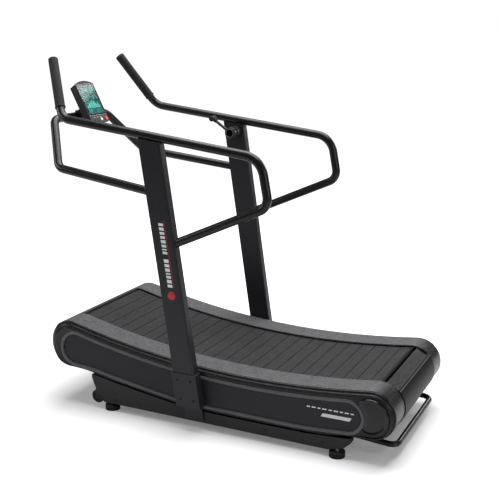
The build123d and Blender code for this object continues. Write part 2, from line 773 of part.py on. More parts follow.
def lift_handle():
    start = CROSS_X[-1] + CROSS_SIZE / 2
    near = [(start, LIFT_HALF, LIFT_Z[0]), (LIFT_X, LIFT_HALF, LIFT_Z[1])]
    far = [(x, -y, z) for x, y, z in reversed(near)]
    bar = swept_tube(near + far, (LIFT_BEND, LIFT_BEND), LIFT_R, LIFT_R - LIFT_WALL)
    member = Box(CROSS_SIZE, 2 * BEAM_Y[0], CROSS_SIZE)
    return bar - Pos(CROSS_X[-1], 0, CROSS_Z + CROSS_SIZE / 2) * member


# ---------------------------------------------------------------- uprights
def upright_x(z):
    return UPRIGHT_X_AT_300 + (z - 300.0) * UPRIGHT_LEAN


def rail_z(x):
    slope = (RAIL_TOP_REAR[2] - RAIL_BEND[2]) / (RAIL_TOP_REAR[0] - RAIL_BEND[0])
    return RAIL_BEND[2] + slope * (x - RAIL_BEND[0])


def upright_face(inset, z_from, drop):
    """Side view of the upright, mitred under the handrail."""
    half = UPRIGHT_DEPTH / 2 - inset
    corners = []
    for side in (-1, 1):
        x = upright_x(UPRIGHT_TOP_Z) + side * half
        for _ in range(6):
            x = upright_x(rail_z(x) - drop) + side * half
        corners.append((x, rail_z(x) - drop))
    low = upright_x(z_from)
    return outline([(low - half, z_from), (low + half, z_from), corners[1], corners[0]])


def upright_envelope():
    half = UPRIGHT_THICK / 2
    return slab(upright_face(0, UPRIGHT_FOOT_Z, UPRIGHT_TOP_DROP), UPRIGHT_Y - half, UPRIGHT_Y + half)


def upright():
    half = UPRIGHT_THICK / 2
    post = upright_envelope()
    upstanding = post.edges().filter_by(lambda edge: edge.length > UPRIGHT_TOP_Z - 2 * SOCKET_Z[1])
    post = fillet(upstanding, radius=UPRIGHT_EDGE_R)
    core = upright_face(TUBE_WALL, UPRIGHT_FOOT_Z - 1, UPRIGHT_TOP_DROP + 4)
    post -= slab(core, UPRIGHT_Y - half + TUBE_WALL, UPRIGHT_Y + half - TUBE_WALL)
    groove = []
    for z in (SOCKET_Z[1], UPRIGHT_GROOVE_TOP):
        groove.append((upright_x(z) + UPRIGHT_DEPTH / 2 - UPRIGHT_GROOVE_INSET, z))
    groove += [(x + UPRIGHT_GROOVE, z) for x, z in reversed(groove)]
    post -= slab(outline(groove), UPRIGHT_Y + half - UPRIGHT_GROOVE_DEPTH, UPRIGHT_Y + half + 1)
    return post - handrail_envelope()


def socket_face(grow, z_from, z_to):
    half = UPRIGHT_DEPTH / 2 + grow
    low = upright_x(z_from)
    high = upright_x(z_to)
    return outline([(low - half, z_from), (low + half, z_from), (high + half, z_to), (high - half, z_to)])


def post_socket():
    low, high = SOCKET_Z
    half = UPRIGHT_THICK / 2 + SOCKET_CLEARANCE
    body = slab(socket_face(SOCKET_WALL, low, high), SOCKET_INNER_Y, SOCKET_OUTER_Y)
    rim = body.faces().sort_by(Axis.Z)[-1].edges()
    body = chamfer(rim, SOCKET_RIM)
    tongue_low, tongue_width, tongue_thick = SOCKET_TONGUE
    inset = (tongue_width - UPRIGHT_DEPTH) / 2
    body += slab(socket_face(inset, tongue_low, low), SOCKET_INNER_Y, SOCKET_INNER_Y + tongue_thick)
    pocket = socket_face(SOCKET_CLEARANCE, UPRIGHT_FOOT_Z, high + 5)
    return body - slab(pocket, UPRIGHT_Y - half, UPRIGHT_Y + half)


# ---------------------------------------------------------------- handrails
def handrail_points():
    return [GRIP_TIP, RAIL_BEND, RAIL_TOP_REAR, RAIL_LOW_REAR, RAIL_LOW_END]


def handrail_envelope():
    return swept_tube(handrail_points(), RAIL_RADII, TUBE_R, 0)


def lower_post_block():
    """Block around the upright below the handrail, to cut tube ends flush with the post."""
    face = upright_face(0, SOCKET_Z[1] + 30, UPRIGHT_DEPTH / 2)
    return slab(face, UPRIGHT_Y - UPRIGHT_THICK, UPRIGHT_Y + UPRIGHT_THICK)


def handrail():
    tube = swept_tube(handrail_points(), RAIL_RADII, TUBE_R, TUBE_R - TUBE_THICK)
    solid = tube - lower_post_block()
    return max(solid.solids(), key=lambda piece: piece.volume)


def hand_grip():
    tip = Vector(*GRIP_TIP)
    bend = Vector(*RAIL_BEND)
    ahead = (tip - bend).normalized()
    low = bend + ahead * GRIP_START
    length = (tip - low).length
    sleeve = Plane(origin=low, z_dir=ahead) * extrude(Circle(GRIP_R), amount=length + GRIP_OVERHANG)
    sleeve = fillet(sleeve.edges().filter_by(GeomType.CIRCLE), radius=GRIP_EDGE)
    bore = Plane(origin=low - ahead, z_dir=ahead) * extrude(Circle(TUBE_R), amount=length + 1)
    return sleeve - bore


def front_tube():
    mirrored = [(x, -y, z) for x, y, z in (FRONT_TOP_CORNER, FRONT_LOW_CORNER, FRONT_LOW_END)]
    points = [FRONT_LOW_END, FRONT_LOW_CORNER, FRONT_TOP_CORNER, *mirrored]
    radii = (*FRONT_RADII, *reversed(FRONT_RADII))
    tube = swept_tube(points, radii, TUBE_R, TUBE_R - TUBE_THICK)
    block = lower_post_block()
    solid = tube - block - opposite(block)
    return max(solid.solids(), key=lambda piece: piece.volume)


# ---------------------------------------------------------------- console
TILT = math.radians(FACE_TILT)
FACE = Plane(origin=(FACE_X, 0, FACE_Z), x_dir=(0, 1, 0), z_dir=(math.cos(TILT), 0, math.sin(TILT)))


def face_outline(inset):
    """Front view of the console: square shoulders under a shallow arch."""
    half = FACE_WIDTH / 2 - inset
    low = FACE_BOTTOM + inset
    high = FACE_SHOULDER - inset
    crown = FACE_ARCH - inset
    sides = Polyline((half, high), (half, low), (-half, low), (-half, high))
    arch = ThreePointArc((-half, high), (0, crown), (half, high))
    face = make_face([sides, arch])
    corners = face.vertices().group_by(Axis.Y)[0]
    return fillet(corners, radius=max(FACE_CORNER - inset, 2))


def console_shell():
    back = extrude(FACE * face_outline(0), amount=-SHELL_DEPTH, taper=SHELL_TAPER)
    room = extrude(FACE * face_outline(SHELL_WALL), amount=SHELL_WALL - SHELL_DEPTH, taper=SHELL_TAPER)
    return back - room


def key_positions():
    return [(u, KEY_V, KEY_R) for u in KEY_U] + [(STOP_U, KEY_V, STOP_R)]


def console_bezel():
    through = 2 * BEZEL_THICK
    plate = extrude(FACE * face_outline(0), amount=BEZEL_THICK)
    front = plate.faces().sort_by(Axis((0, 0, 0), FACE.z_dir))[-1]
    plate = chamfer(front.edges(), BEZEL_EDGE)
    lens_seat = Pos(0, LENS_V, BEZEL_THICK - LENS_THICK) * extrude(Rectangle(*LENS_SIZE), amount=through)
    window = Pos(0, LENS_V, -1) * extrude(Rectangle(*LCD_SIZE), amount=through)
    plate = plate - FACE * lens_seat - FACE * window
    for u, v, radius in key_positions():
        plate -= FACE * (Pos(u, v, -1) * extrude(Circle(radius + KEY_GAP), amount=through))
    return plate


def console_lens():
    pane = extrude(Rectangle(*LENS_SIZE), amount=LENS_THICK)
    return FACE * (Pos(0, LENS_V, BEZEL_THICK - LENS_THICK) * pane)


def lcd_module():
    low = BEZEL_THICK - LENS_THICK - LCD_THICK
    width, height = [side - 2 * LCD_GAP for side in LCD_SIZE]
    return FACE * (Pos(0, LENS_V, low) * extrude(Rectangle(width, height), amount=LCD_THICK))


def console_key(u, v, radius):
    rise = STOP_RISE if radius == STOP_R else KEY_RISE
    stem = Pos(0, 0, -KEY_STEM) * extrude(Circle(radius), amount=KEY_STEM + BEZEL_THICK + rise)
    stem = fillet(stem.edges().sort_by(Axis.Z)[-1], radius=KEY_EDGE)
    skirt = Pos(0, 0, -KEY_STEM) * extrude(Circle(radius + KEY_SKIRT), amount=KEY_SKIRT_THICK)
    return FACE * (Pos(u, v, 0) * (stem + skirt))


def cross_tube_on_face():
    """Cross tube axis in console coordinates: height up the face and depth behind it."""
    dx = FRONT_TOP_CORNER[0] - FACE_X
    dz = FRONT_TOP_CORNER[2] - FACE_Z
    return (-dx * math.sin(TILT) + dz * math.cos(TILT), dx * math.cos(TILT) + dz * math.sin(TILT))


def console_bracket():
    """Neck from the back of the console to the cross tube, saddled on the tube."""
    v, depth = cross_tube_on_face()
    width, height = BRACKET_SIZE
    wide, high = FLANGE_MARGIN
    neck = Pos(0, v, depth) * extrude(Rectangle(width, height), amount=-depth - SHELL_DEPTH)
    plate = extrude(Rectangle(width + wide, height + high), amount=FLANGE_THICK)
    flange = Pos(0, v, -SHELL_DEPTH - FLANGE_THICK) * plate
    saddle = Pos(0, v, depth) * Rot(0, 90, 0) * Cylinder(TUBE_R, 2 * width)
    return FACE * (neck + flange - saddle)


def bracket_strap():
    """Half band behind the cross tube with an ear above and below."""
    v, depth = cross_tube_on_face()
    width, height = BRACKET_SIZE
    length = width - STRAP_INSET
    band = Rot(0, 90, 0) * (Cylinder(TUBE_R + STRAP_THICK, length) - Cylinder(TUBE_R, width))
    ears = Pos(0, 0, -STRAP_THICK / 2) * Box(length, height + STRAP_EAR, STRAP_THICK)
    ears -= Rot(0, 90, 0) * Cylinder(TUBE_R + 1, width)
    behind = Pos(0, 0, -width) * Box(2 * width, 2 * width, 2 * width)
    return FACE * (Pos(0, v, depth) * ((band + ears) & behind))


# ---------------------------------------------------------------- resistance lever
def lever_housing():
    low, high = LEVER_HOUSING_Y
    inset, depth = LEVER_HOUSING_STEP
    body = disc(LEVER_X, LEVER_Z, LEVER_HOUSING_R, low + depth, high)
    body += disc(LEVER_X, LEVER_Z, LEVER_HOUSING_R - inset, low, low + depth)
    return body - disc(LEVER_X, LEVER_Z, LEVER_SHAFT_R + FIT, low - 1, high - TUBE_WALL - 3)


def lever_hub():
    low, high = LEVER_HUB_Y
    body = disc(LEVER_X, LEVER_Z, LEVER_HUB_R, low, high)
    rim = body.faces().sort_by(Axis.Y)[0].edges()
    body = fillet(rim, radius=LEVER_HUB_EDGE)
    body += disc(LEVER_X, LEVER_Z, LEVER_SHAFT_R, high, LEVER_SHAFT_END)
    return body - disc(LEVER_X, LEVER_Z, LEVER_CAP_R + LEVER_CAP_GAP, low - 1, low + LEVER_CAP_SEAT)


def lever_cap():
    low = LEVER_HUB_Y[0]
    return disc(LEVER_X, LEVER_Z, LEVER_CAP_R, low + LEVER_CAP_SINK, low + LEVER_CAP_SEAT)


def lever_arm():
    start = polar((LEVER_X, LEVER_Z), LEVER_HUB_R - 1, LEVER_ANGLE)
    end = polar((LEVER_X, LEVER_Z), LEVER_LENGTH, LEVER_ANGLE)
    ahead = Vector(end[0] - start[0], 0, end[1] - start[1])
    place = Plane(origin=(start[0], LEVER_ARM_Y, start[1]), z_dir=ahead)
    rod = place * extrude(Circle(LEVER_ARM_R), amount=ahead.length)
    return rod - disc(LEVER_X, LEVER_Z, LEVER_HUB_R, *LEVER_HUB_Y)


def lever_grip():
    """Rounded cross grip at the end of the arm."""
    x, z = polar((LEVER_X, LEVER_Z), LEVER_LENGTH, LEVER_ANGLE)
    along = Vector(x - LEVER_X, 0, z - LEVER_Z)
    place = Plane(origin=(x, LEVER_ARM_Y, z), z_dir=along, x_dir=(0, 1, 0))
    bar = Rot(0, 90, 0) * Cylinder(LEVER_GRIP_R, 2 * LEVER_GRIP_HALF)
    bar = fillet(bar.edges().filter_by(GeomType.CIRCLE), radius=LEVER_GRIP_EDGE)
    wall, length, drop = LEVER_NECK
    neck = Pos(0, 0, -drop) * extrude(Circle(LEVER_ARM_R + wall), amount=length)
    bore = extrude(Circle(LEVER_ARM_R), amount=-LEVER_LENGTH / 2)
    return place * (bar + neck - bore)


# ---------------------------------------------------------------- write every node
def write_deck():
    write_slats()
    twin("carrier_belts", carrier_belt())
    both_sides("side_cover", cover_shell())
    twin("landing_strips", landing_strip())
    twin("side_panels", side_panel())
    twin("end_caps", end_cap(FRONT, -1), end_cap(REAR, 1))
    write("front_hood", hood(FRONT, HOOD_FRONT_ARC))
    write("rear_hood", hood(REAR, HOOD_REAR_ARC))
    twin("deck_plates", deck_plate())
    twin("glide_runners", glide_runner())
    twin("track_rails", track_rail())
    write("deck_ties", *deck_ties())


def write_drums():
    for name, centre in (("front", FRONT), ("rear", REAR)):
        write(f"{name}_shaft", shaft(centre))
        twin(f"{name}_pulleys", pulley(centre))
    twin("shaft_bearings", bearing_unit(FRONT), bearing_unit(REAR))
    write("brake_disc", brake_disc())
    write("magnet_carriage", magnet_carriage())
    write("brake_magnets", *carriage_magnets())
    write("carriage_pin", carriage_pin())


def write_base():
    both_sides("base_beam", base_beam())
    write("cross_members", *[cross_member(x) for x in CROSS_X])
    twin("front_feet", foot_pad(*FRONT_FOOT))
    twin("front_foot_studs", foot_stem(*FRONT_FOOT))
    both_sides("rear_foot", foot_pad(*REAR_FOOT))
    both_sides("rear_foot_screw", foot_stem(*REAR_FOOT))
    both_sides("transport_wheel", transport_wheel())
    twin("wheel_brackets", *wheel_bracket())
    twin("wheel_pins", wheel_pin())
    write("lift_handle", lift_handle())


def write_frame():
    both_sides("upright", upright())
    twin("post_sockets", post_socket())
    both_sides("handrail", handrail())
    twin("hand_grips", hand_grip())
    write("front_tube", front_tube())


def write_console():
    write("console_shell", console_shell())
    write("console_bezel", console_bezel())
    write("console_lens", console_lens())
    write("lcd_module", lcd_module())
    for name, (u, v, radius) in zip(("mode", "set", "reset", "stop"), key_positions()):
        write(f"{name}_button", console_key(u, v, radius))
    write("console_bracket", console_bracket())
    write("bracket_strap", bracket_strap())


def write_lever():
    write("lever_housing", lever_housing())
    write("lever_hub", lever_hub())
    write("lever_cap", lever_cap())
    write("lever_arm", lever_arm())
    write("lever_grip", lever_grip())


write_deck()
write_drums()
write_base()
write_frame()
write_console()
write_lever()
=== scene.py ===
import json
import math

import bmesh
import bpy
from mathutils import Matrix, Vector


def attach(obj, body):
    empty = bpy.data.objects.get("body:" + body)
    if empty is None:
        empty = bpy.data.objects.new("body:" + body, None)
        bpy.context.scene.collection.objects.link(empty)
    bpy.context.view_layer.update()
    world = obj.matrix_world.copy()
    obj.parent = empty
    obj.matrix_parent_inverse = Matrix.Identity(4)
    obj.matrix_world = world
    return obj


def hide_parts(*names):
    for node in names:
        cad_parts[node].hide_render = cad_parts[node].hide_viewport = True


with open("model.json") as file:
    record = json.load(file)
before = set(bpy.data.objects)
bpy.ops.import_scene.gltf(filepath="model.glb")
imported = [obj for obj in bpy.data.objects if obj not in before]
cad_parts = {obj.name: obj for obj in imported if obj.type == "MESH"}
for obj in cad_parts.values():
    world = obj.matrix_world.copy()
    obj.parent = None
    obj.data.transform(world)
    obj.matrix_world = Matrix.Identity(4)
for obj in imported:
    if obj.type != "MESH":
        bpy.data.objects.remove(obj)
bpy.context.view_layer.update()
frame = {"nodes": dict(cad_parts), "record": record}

NODES = frame["nodes"]
SLOT_OF = {row["node"]: row["material_slot"] for row in frame["record"]["subparts"]}

# ---------------------------------------------------------------- places taken from the model, in metres
COVER_STEP_SIDE = 0.362
DECK_SIDE = 0.376
BEAM_SIDE = 0.3768
PANEL_SIDE = 0.373
UPRIGHT_SIDE = 0.419
SOCKET_SIDE = 0.4228
UPRIGHT_X = -0.077
UPRIGHT_Z = 0.300
UPRIGHT_LEAN = -0.1475
FACE = Vector((-0.795, 0.0, 1.393))
FACE_TILT = math.radians(27)
FACE_NORMAL = Vector((math.cos(FACE_TILT), 0.0, math.sin(FACE_TILT)))
FACE_UP = Vector((-math.sin(FACE_TILT), 0.0, math.cos(FACE_TILT)))
FACE_ACROSS = Vector((0.0, 1.0, 0.0))
FRONT_DRUM = (-0.710, 0.299)
REAR_DRUM = (0.767, 0.209)
TUBE_R = 0.019
HOOD_HALF = 0.2375
UPRIGHT_HALF = 0.0535
LEVER_HUB = (-0.208, 0.3128, 1.236)
RAIL_LOW = (Vector((-0.180, 0.399, 0.815)), Vector((0.323, 0.399, 1.0375)))
FRONT_LOW = (Vector((-0.220, 0.399, 1.059)), Vector((-0.731, 0.360, 1.124)))
GRIP = (Vector((-0.671, 0.398, 1.351)), Vector((-0.800, 0.271, 1.5954)))
GRIP_START = 0.058
SIDES = (("left", -1), ("right", 1))
ALONG = Vector((1.0, 0.0, 0.0))
UP = Vector((0.0, 0.0, 1.0))

# ---------------------------------------------------------------- camera
CAMERA_PLACE = (1.7834, -3.6544, 1.73985)
CAMERA_AZIMUTH = 25.40
CAMERA_ELEVATION = 13.775
CAMERA_LENS = 65.49


def make_camera():
    azimuth = math.radians(CAMERA_AZIMUTH)
    elevation = math.radians(CAMERA_ELEVATION)
    right = Vector((math.cos(azimuth), math.sin(azimuth), 0.0))
    level = math.cos(elevation)
    back = Vector((math.sin(azimuth) * level, -math.cos(azimuth) * level, math.sin(elevation)))
    up = back.cross(right)
    data = bpy.data.cameras.new("camera")
    data.lens = CAMERA_LENS
    camera = bpy.data.objects.new("camera", data)
    camera.rotation_mode = "QUATERNION"
    camera.rotation_quaternion = Matrix((right, up, back)).transposed().to_quaternion()
    camera.location = CAMERA_PLACE
    bpy.context.collection.objects.link(camera)
    bpy.context.scene.camera = camera


# ---------------------------------------------------------------- light and floor
LIGHTS = (
    ("top", (0.0, 0.7, 4.4), (0.0, 0.0, 0.3), 3.8, 330.0),
    ("left", (-3.6, -1.6, 2.2), (-0.2, 0.0, 0.7), 1.6, 42.0),
    ("right", (4.2, -1.2, 2.0), (0.3, 0.0, 0.5), 1.6, 38.0),
    ("rim", (1.5, 4.2, 2.4), (-0.3, 0.0, 0.9), 1.6, 60.0),
    ("card", (-0.056, 1.776, 2.71), (-0.79, 0.0, 1.41), 0.7, 4.5),
)
WORLD_LIGHT = 0.16
WHITE = (1.0, 1.0, 1.0, 1.0)
FLOOR_R = 60.0
FLOOR_COLOUR = (0.80, 0.80, 0.81, 1.0)
# from, to and the painted glow at both distances
FLOOR_FADE = (0.9, 3.6, 0.16, 0.92)


def make_lights():
    for name, place, target, size, power in LIGHTS:
        data = bpy.data.lights.new(name, "AREA")
        data.size = size
        data.energy = power
        lamp = bpy.data.objects.new(name, data)
        lamp.location = place
        lamp.rotation_mode = "QUATERNION"
        lamp.rotation_quaternion = (Vector(target) - Vector(place)).to_track_quat("-Z", "Y")
        bpy.context.collection.objects.link(lamp)
    world = bpy.data.worlds.new("studio")
    bpy.context.scene.world = world
    world.use_nodes = True
    tree = world.node_tree
    background = tree.nodes["Background"]
    background.inputs["Color"].default_value = WHITE
    seen = tree.nodes.new("ShaderNodeLightPath").outputs["Is Camera Ray"]
    level = tree.nodes.new("ShaderNodeMapRange")
    level.inputs["To Min"].default_value = WORLD_LIGHT
    level.inputs["To Max"].default_value = 1.0
    tree.links.new(seen, level.inputs["Value"])
    tree.links.new(level.outputs["Result"], background.inputs["Strength"])
    bpy.context.scene.view_settings.view_transform = "Standard"


def make_floor():
    bm = bmesh.new()
    bmesh.ops.create_circle(bm, cap_ends=True, radius=FLOOR_R, segments=96)
    mesh = bpy.data.meshes.new("floor")
    bm.to_mesh(mesh)
    bm.free()
    floor = bpy.data.objects.new("floor", mesh)
    bpy.context.collection.objects.link(floor)
    floor.data.materials.append(floor_finish())


def floor_finish():
    """Pale floor that fades into the white backdrop away from the machine, by a painted glow."""
    graph = Graph("floor_paint_and_glow")
    reach = graph.add("ShaderNodeVectorMath", operation="LENGTH")
    graph.put(reach.inputs[0], graph.place)
    lift = graph.ranged(reach.outputs["Value"], *FLOOR_FADE)
    # painted glow: emission seen by camera rays only, weak by the machine and strong far from it
    seen = graph.add("ShaderNodeLightPath").outputs["Is Camera Ray"]
    graph.set(Base_Color=FLOOR_COLOUR, Roughness=0.7, Emission_Color=WHITE)
    graph.set(Emission_Strength=graph.maths("MULTIPLY", lift, seen), Specular_IOR_Level=0.2)
    return graph.material


# ---------------------------------------------------------------- materials
class Graph:
    """Short hand for wiring a material."""

    def __init__(self, name):
        self.material = bpy.data.materials.new(name)
        self.material.use_nodes = True
        self.tree = self.material.node_tree
        self.shader = self.tree.nodes["Principled BSDF"]
        self.place = self.add("ShaderNodeTexCoord").outputs["Object"]

    def add(self, kind, **values):
        made = self.tree.nodes.new(kind)
        for key, value in values.items():
            if hasattr(made, key):
                setattr(made, key, value)
                continue
            self.put(made.inputs[key.replace("_", " ")], value)
        return made

    def put(self, socket, value):
        if isinstance(value, bpy.types.NodeSocket):
            self.tree.links.new(value, socket)
        else:
            socket.default_value = value

    def noise(self, scale, detail=3.0, place=None):
        made = self.add("ShaderNodeTexNoise", Scale=scale, Detail=detail, Roughness=0.55)
        self.put(made.inputs["Vector"], place or self.place)
        return made.outputs["Fac"]

    def stretched(self, factors):
        made = self.add("ShaderNodeMapping", Scale=factors)
        self.put(made.inputs["Vector"], self.place)
        return made.outputs["Vector"]

    def ranged(self, value, low, high, to_low, to_high):
        made = self.add("ShaderNodeMapRange")
        for index, entry in enumerate((value, low, high, to_low, to_high)):
            self.put(made.inputs[index], entry)
        return made.outputs["Result"]

    def mixed(self, factor, first, second):
        made = self.add("ShaderNodeMix", data_type="RGBA")
        self.put(made.inputs[0], factor)
        self.put(made.inputs[6], first)
        self.put(made.inputs[7], second)
        return made.outputs[2]

    def maths(self, operation, first, second):
        made = self.add("ShaderNodeMath", operation=operation)
        self.put(made.inputs[0], first)
        self.put(made.inputs[1], second)
        return made.outputs[0]

    def cells(self, scale):
        made = self.add("ShaderNodeTexVoronoi", feature="F1", Scale=scale)
        self.put(made.inputs["Vector"], self.place)
        return made.outputs["Distance"]

    def set(self, **values):
        for key, value in values.items():
            self.put(self.shader.inputs[key.replace("_", " ")], value)


def shade(colour, factor):
    return tuple(min(1.0, part * factor) for part in colour[:3]) + (1.0,)


# how far the rounded normal agrees with the flat one: on a flat, and on a worn edge
EDGE_FLAT = 0.995
EDGE_WORN = 0.86
DUST = (0.42, 0.41, 0.40, 1.0)
SHADOW = (0.004, 0.004, 0.0045, 1.0)
SHADOW_SPECULAR = 0.08


def edge_mask(graph, radius):
    """White along edges: where the rounded normal leaves the flat one."""
    rounded = graph.add("ShaderNodeBevel", samples=4, Radius=radius)
    flat = graph.add("ShaderNodeNewGeometry").outputs["Normal"]
    dot = graph.add("ShaderNodeVectorMath", operation="DOT_PRODUCT")
    graph.put(dot.inputs[0], rounded.outputs["Normal"])
    graph.put(dot.inputs[1], flat)
    mask = graph.ranged(dot.outputs["Value"], EDGE_FLAT, EDGE_WORN, 0.0, 1.0)
    return rounded.outputs["Normal"], mask


def surface(name, colour, rough, metal=0.0, grain=(700.0, 0.1, 0.0002), drift=(7.0, 0.12), span=0.06,
            edge=0.0012, wear=None, speck=None, brushed=None, specular=0.22, coat=0.0, dust=0.0,
            painted_shade_past=None):
    """Procedural finish: colour drift, grain bump, uneven gloss, rounded worn edges and dust on top.

    grain is (scale, strength, depth), drift (scale, amount), wear (amount, colour), speck (scale,
    amount, size), brushed the stretch of the grain and painted_shade_past the x where the shade starts and ends.
    """
    graph = Graph(name)
    place = graph.stretched(brushed) if brushed else graph.place
    broad = graph.noise(drift[0], 4.0)
    fine = graph.noise(grain[0], 3.0, place=place)
    tone = graph.mixed(broad, shade(colour, 1 - drift[1]), shade(colour, 1 + drift[1]))
    height = fine
    if speck:
        scale, dark, size = speck
        pit = graph.ranged(graph.cells(scale), size * 0.4, size, 1.0, 0.0)
        tone = graph.mixed(graph.maths("MULTIPLY", pit, dark), tone, shade(colour, 0.25))
        height = graph.maths("SUBTRACT", fine, graph.maths("MULTIPLY", pit, 0.8))
    if dust:
        up = graph.add("ShaderNodeSeparateXYZ")
        graph.put(up.inputs[0], graph.add("ShaderNodeNewGeometry").outputs["Normal"])
        flat = graph.ranged(up.outputs["Z"], 0.4, 1.0, 0.0, dust)
        settled = graph.maths("MULTIPLY", flat, graph.noise(26.0, 5.0))
        tone = graph.mixed(settled, tone, DUST)
    # painted shade: past this x the colour darkens to SHADOW and the specular drops, where the surface
    # turns away from the light
    if painted_shade_past:
        along = graph.add("ShaderNodeSeparateXYZ")
        graph.put(along.inputs[0], graph.place)
        past = graph.ranged(along.outputs["X"], *painted_shade_past, 0.0, 1.0)
        tone = graph.mixed(past, tone, SHADOW)
        specular = graph.ranged(past, 0.0, 1.0, specular, SHADOW_SPECULAR)
    normal, mask = edge_mask(graph, edge)
    if wear:
        patchy = graph.ranged(graph.noise(38.0, 4.0), 0.38, 0.62, 0.15, 1.0)
        worn = graph.maths("MULTIPLY", graph.maths("MULTIPLY", mask, patchy), wear[0])
        tone = graph.mixed(worn, tone, shade(wear[1], 1.0))
    bump = graph.add("ShaderNodeBump", Strength=grain[1], Distance=grain[2], Height=height, Normal=normal)
    smear = graph.noise(grain[0] * 0.12, 3.0, place=place)
    gloss = graph.ranged(smear, 0.3, 0.7, max(0.02, rough - span), min(1.0, rough + span))
    graph.set(Base_Color=tone, Roughness=gloss, Normal=bump.outputs["Normal"])
    graph.set(Metallic=metal, Specular_IOR_Level=specular)
    if coat:
        graph.set(Coat_Weight=coat, Coat_Roughness=0.08)
    return graph.material


TEAL = ((0.010, 0.110, 0.100, 1.0), (0.018, 0.165, 0.145, 1.0))
TEAL_GLOW = 0.70
INK_COLOUR = (0.16, 0.72, 0.60)
INK_GLOW = 0.55
GLASS_TINTS = ((0.72, 0.74, 0.75, 1.0), (0.8, 0.82, 0.83, 1.0))


def display_finish():
    """Backlit teal display, a little uneven."""
    graph = Graph("lcd_glass")
    glow = graph.mixed(graph.noise(30.0), *TEAL)
    graph.set(Base_Color=glow, Emission_Color=glow, Roughness=0.45, Specular_IOR_Level=0.1)
    graph.set(Emission_Strength=TEAL_GLOW)
    bump = graph.add("ShaderNodeBump", Strength=0.02, Distance=0.00002, Height=graph.noise(700.0))
    graph.set(Normal=bump.outputs["Normal"])
    return graph.material


def glass_finish():
    graph = Graph("lens_glass")
    smear = graph.ranged(graph.noise(60.0, 4.0), 0.3, 0.7, 0.05, 0.14)
    tone = graph.mixed(graph.noise(9.0), *GLASS_TINTS)
    graph.set(Base_Color=tone, Roughness=smear, Transmission_Weight=1.0, IOR=1.5)
    return graph.material


def ink_finish():
    """Glowing figures of the display."""
    graph = Graph("lcd_ink")
    glow = graph.mixed(graph.noise(400.0), shade(INK_COLOUR, 0.85), shade(INK_COLOUR, 1.0))
    graph.set(Base_Color=glow, Emission_Color=glow, Roughness=0.4)
    graph.set(Emission_Strength=INK_GLOW)
    return graph.material


def grey(level, blue=None):
    """Neutral colour, or one with its own blue."""
    return (level, level, level if blue is None else blue)


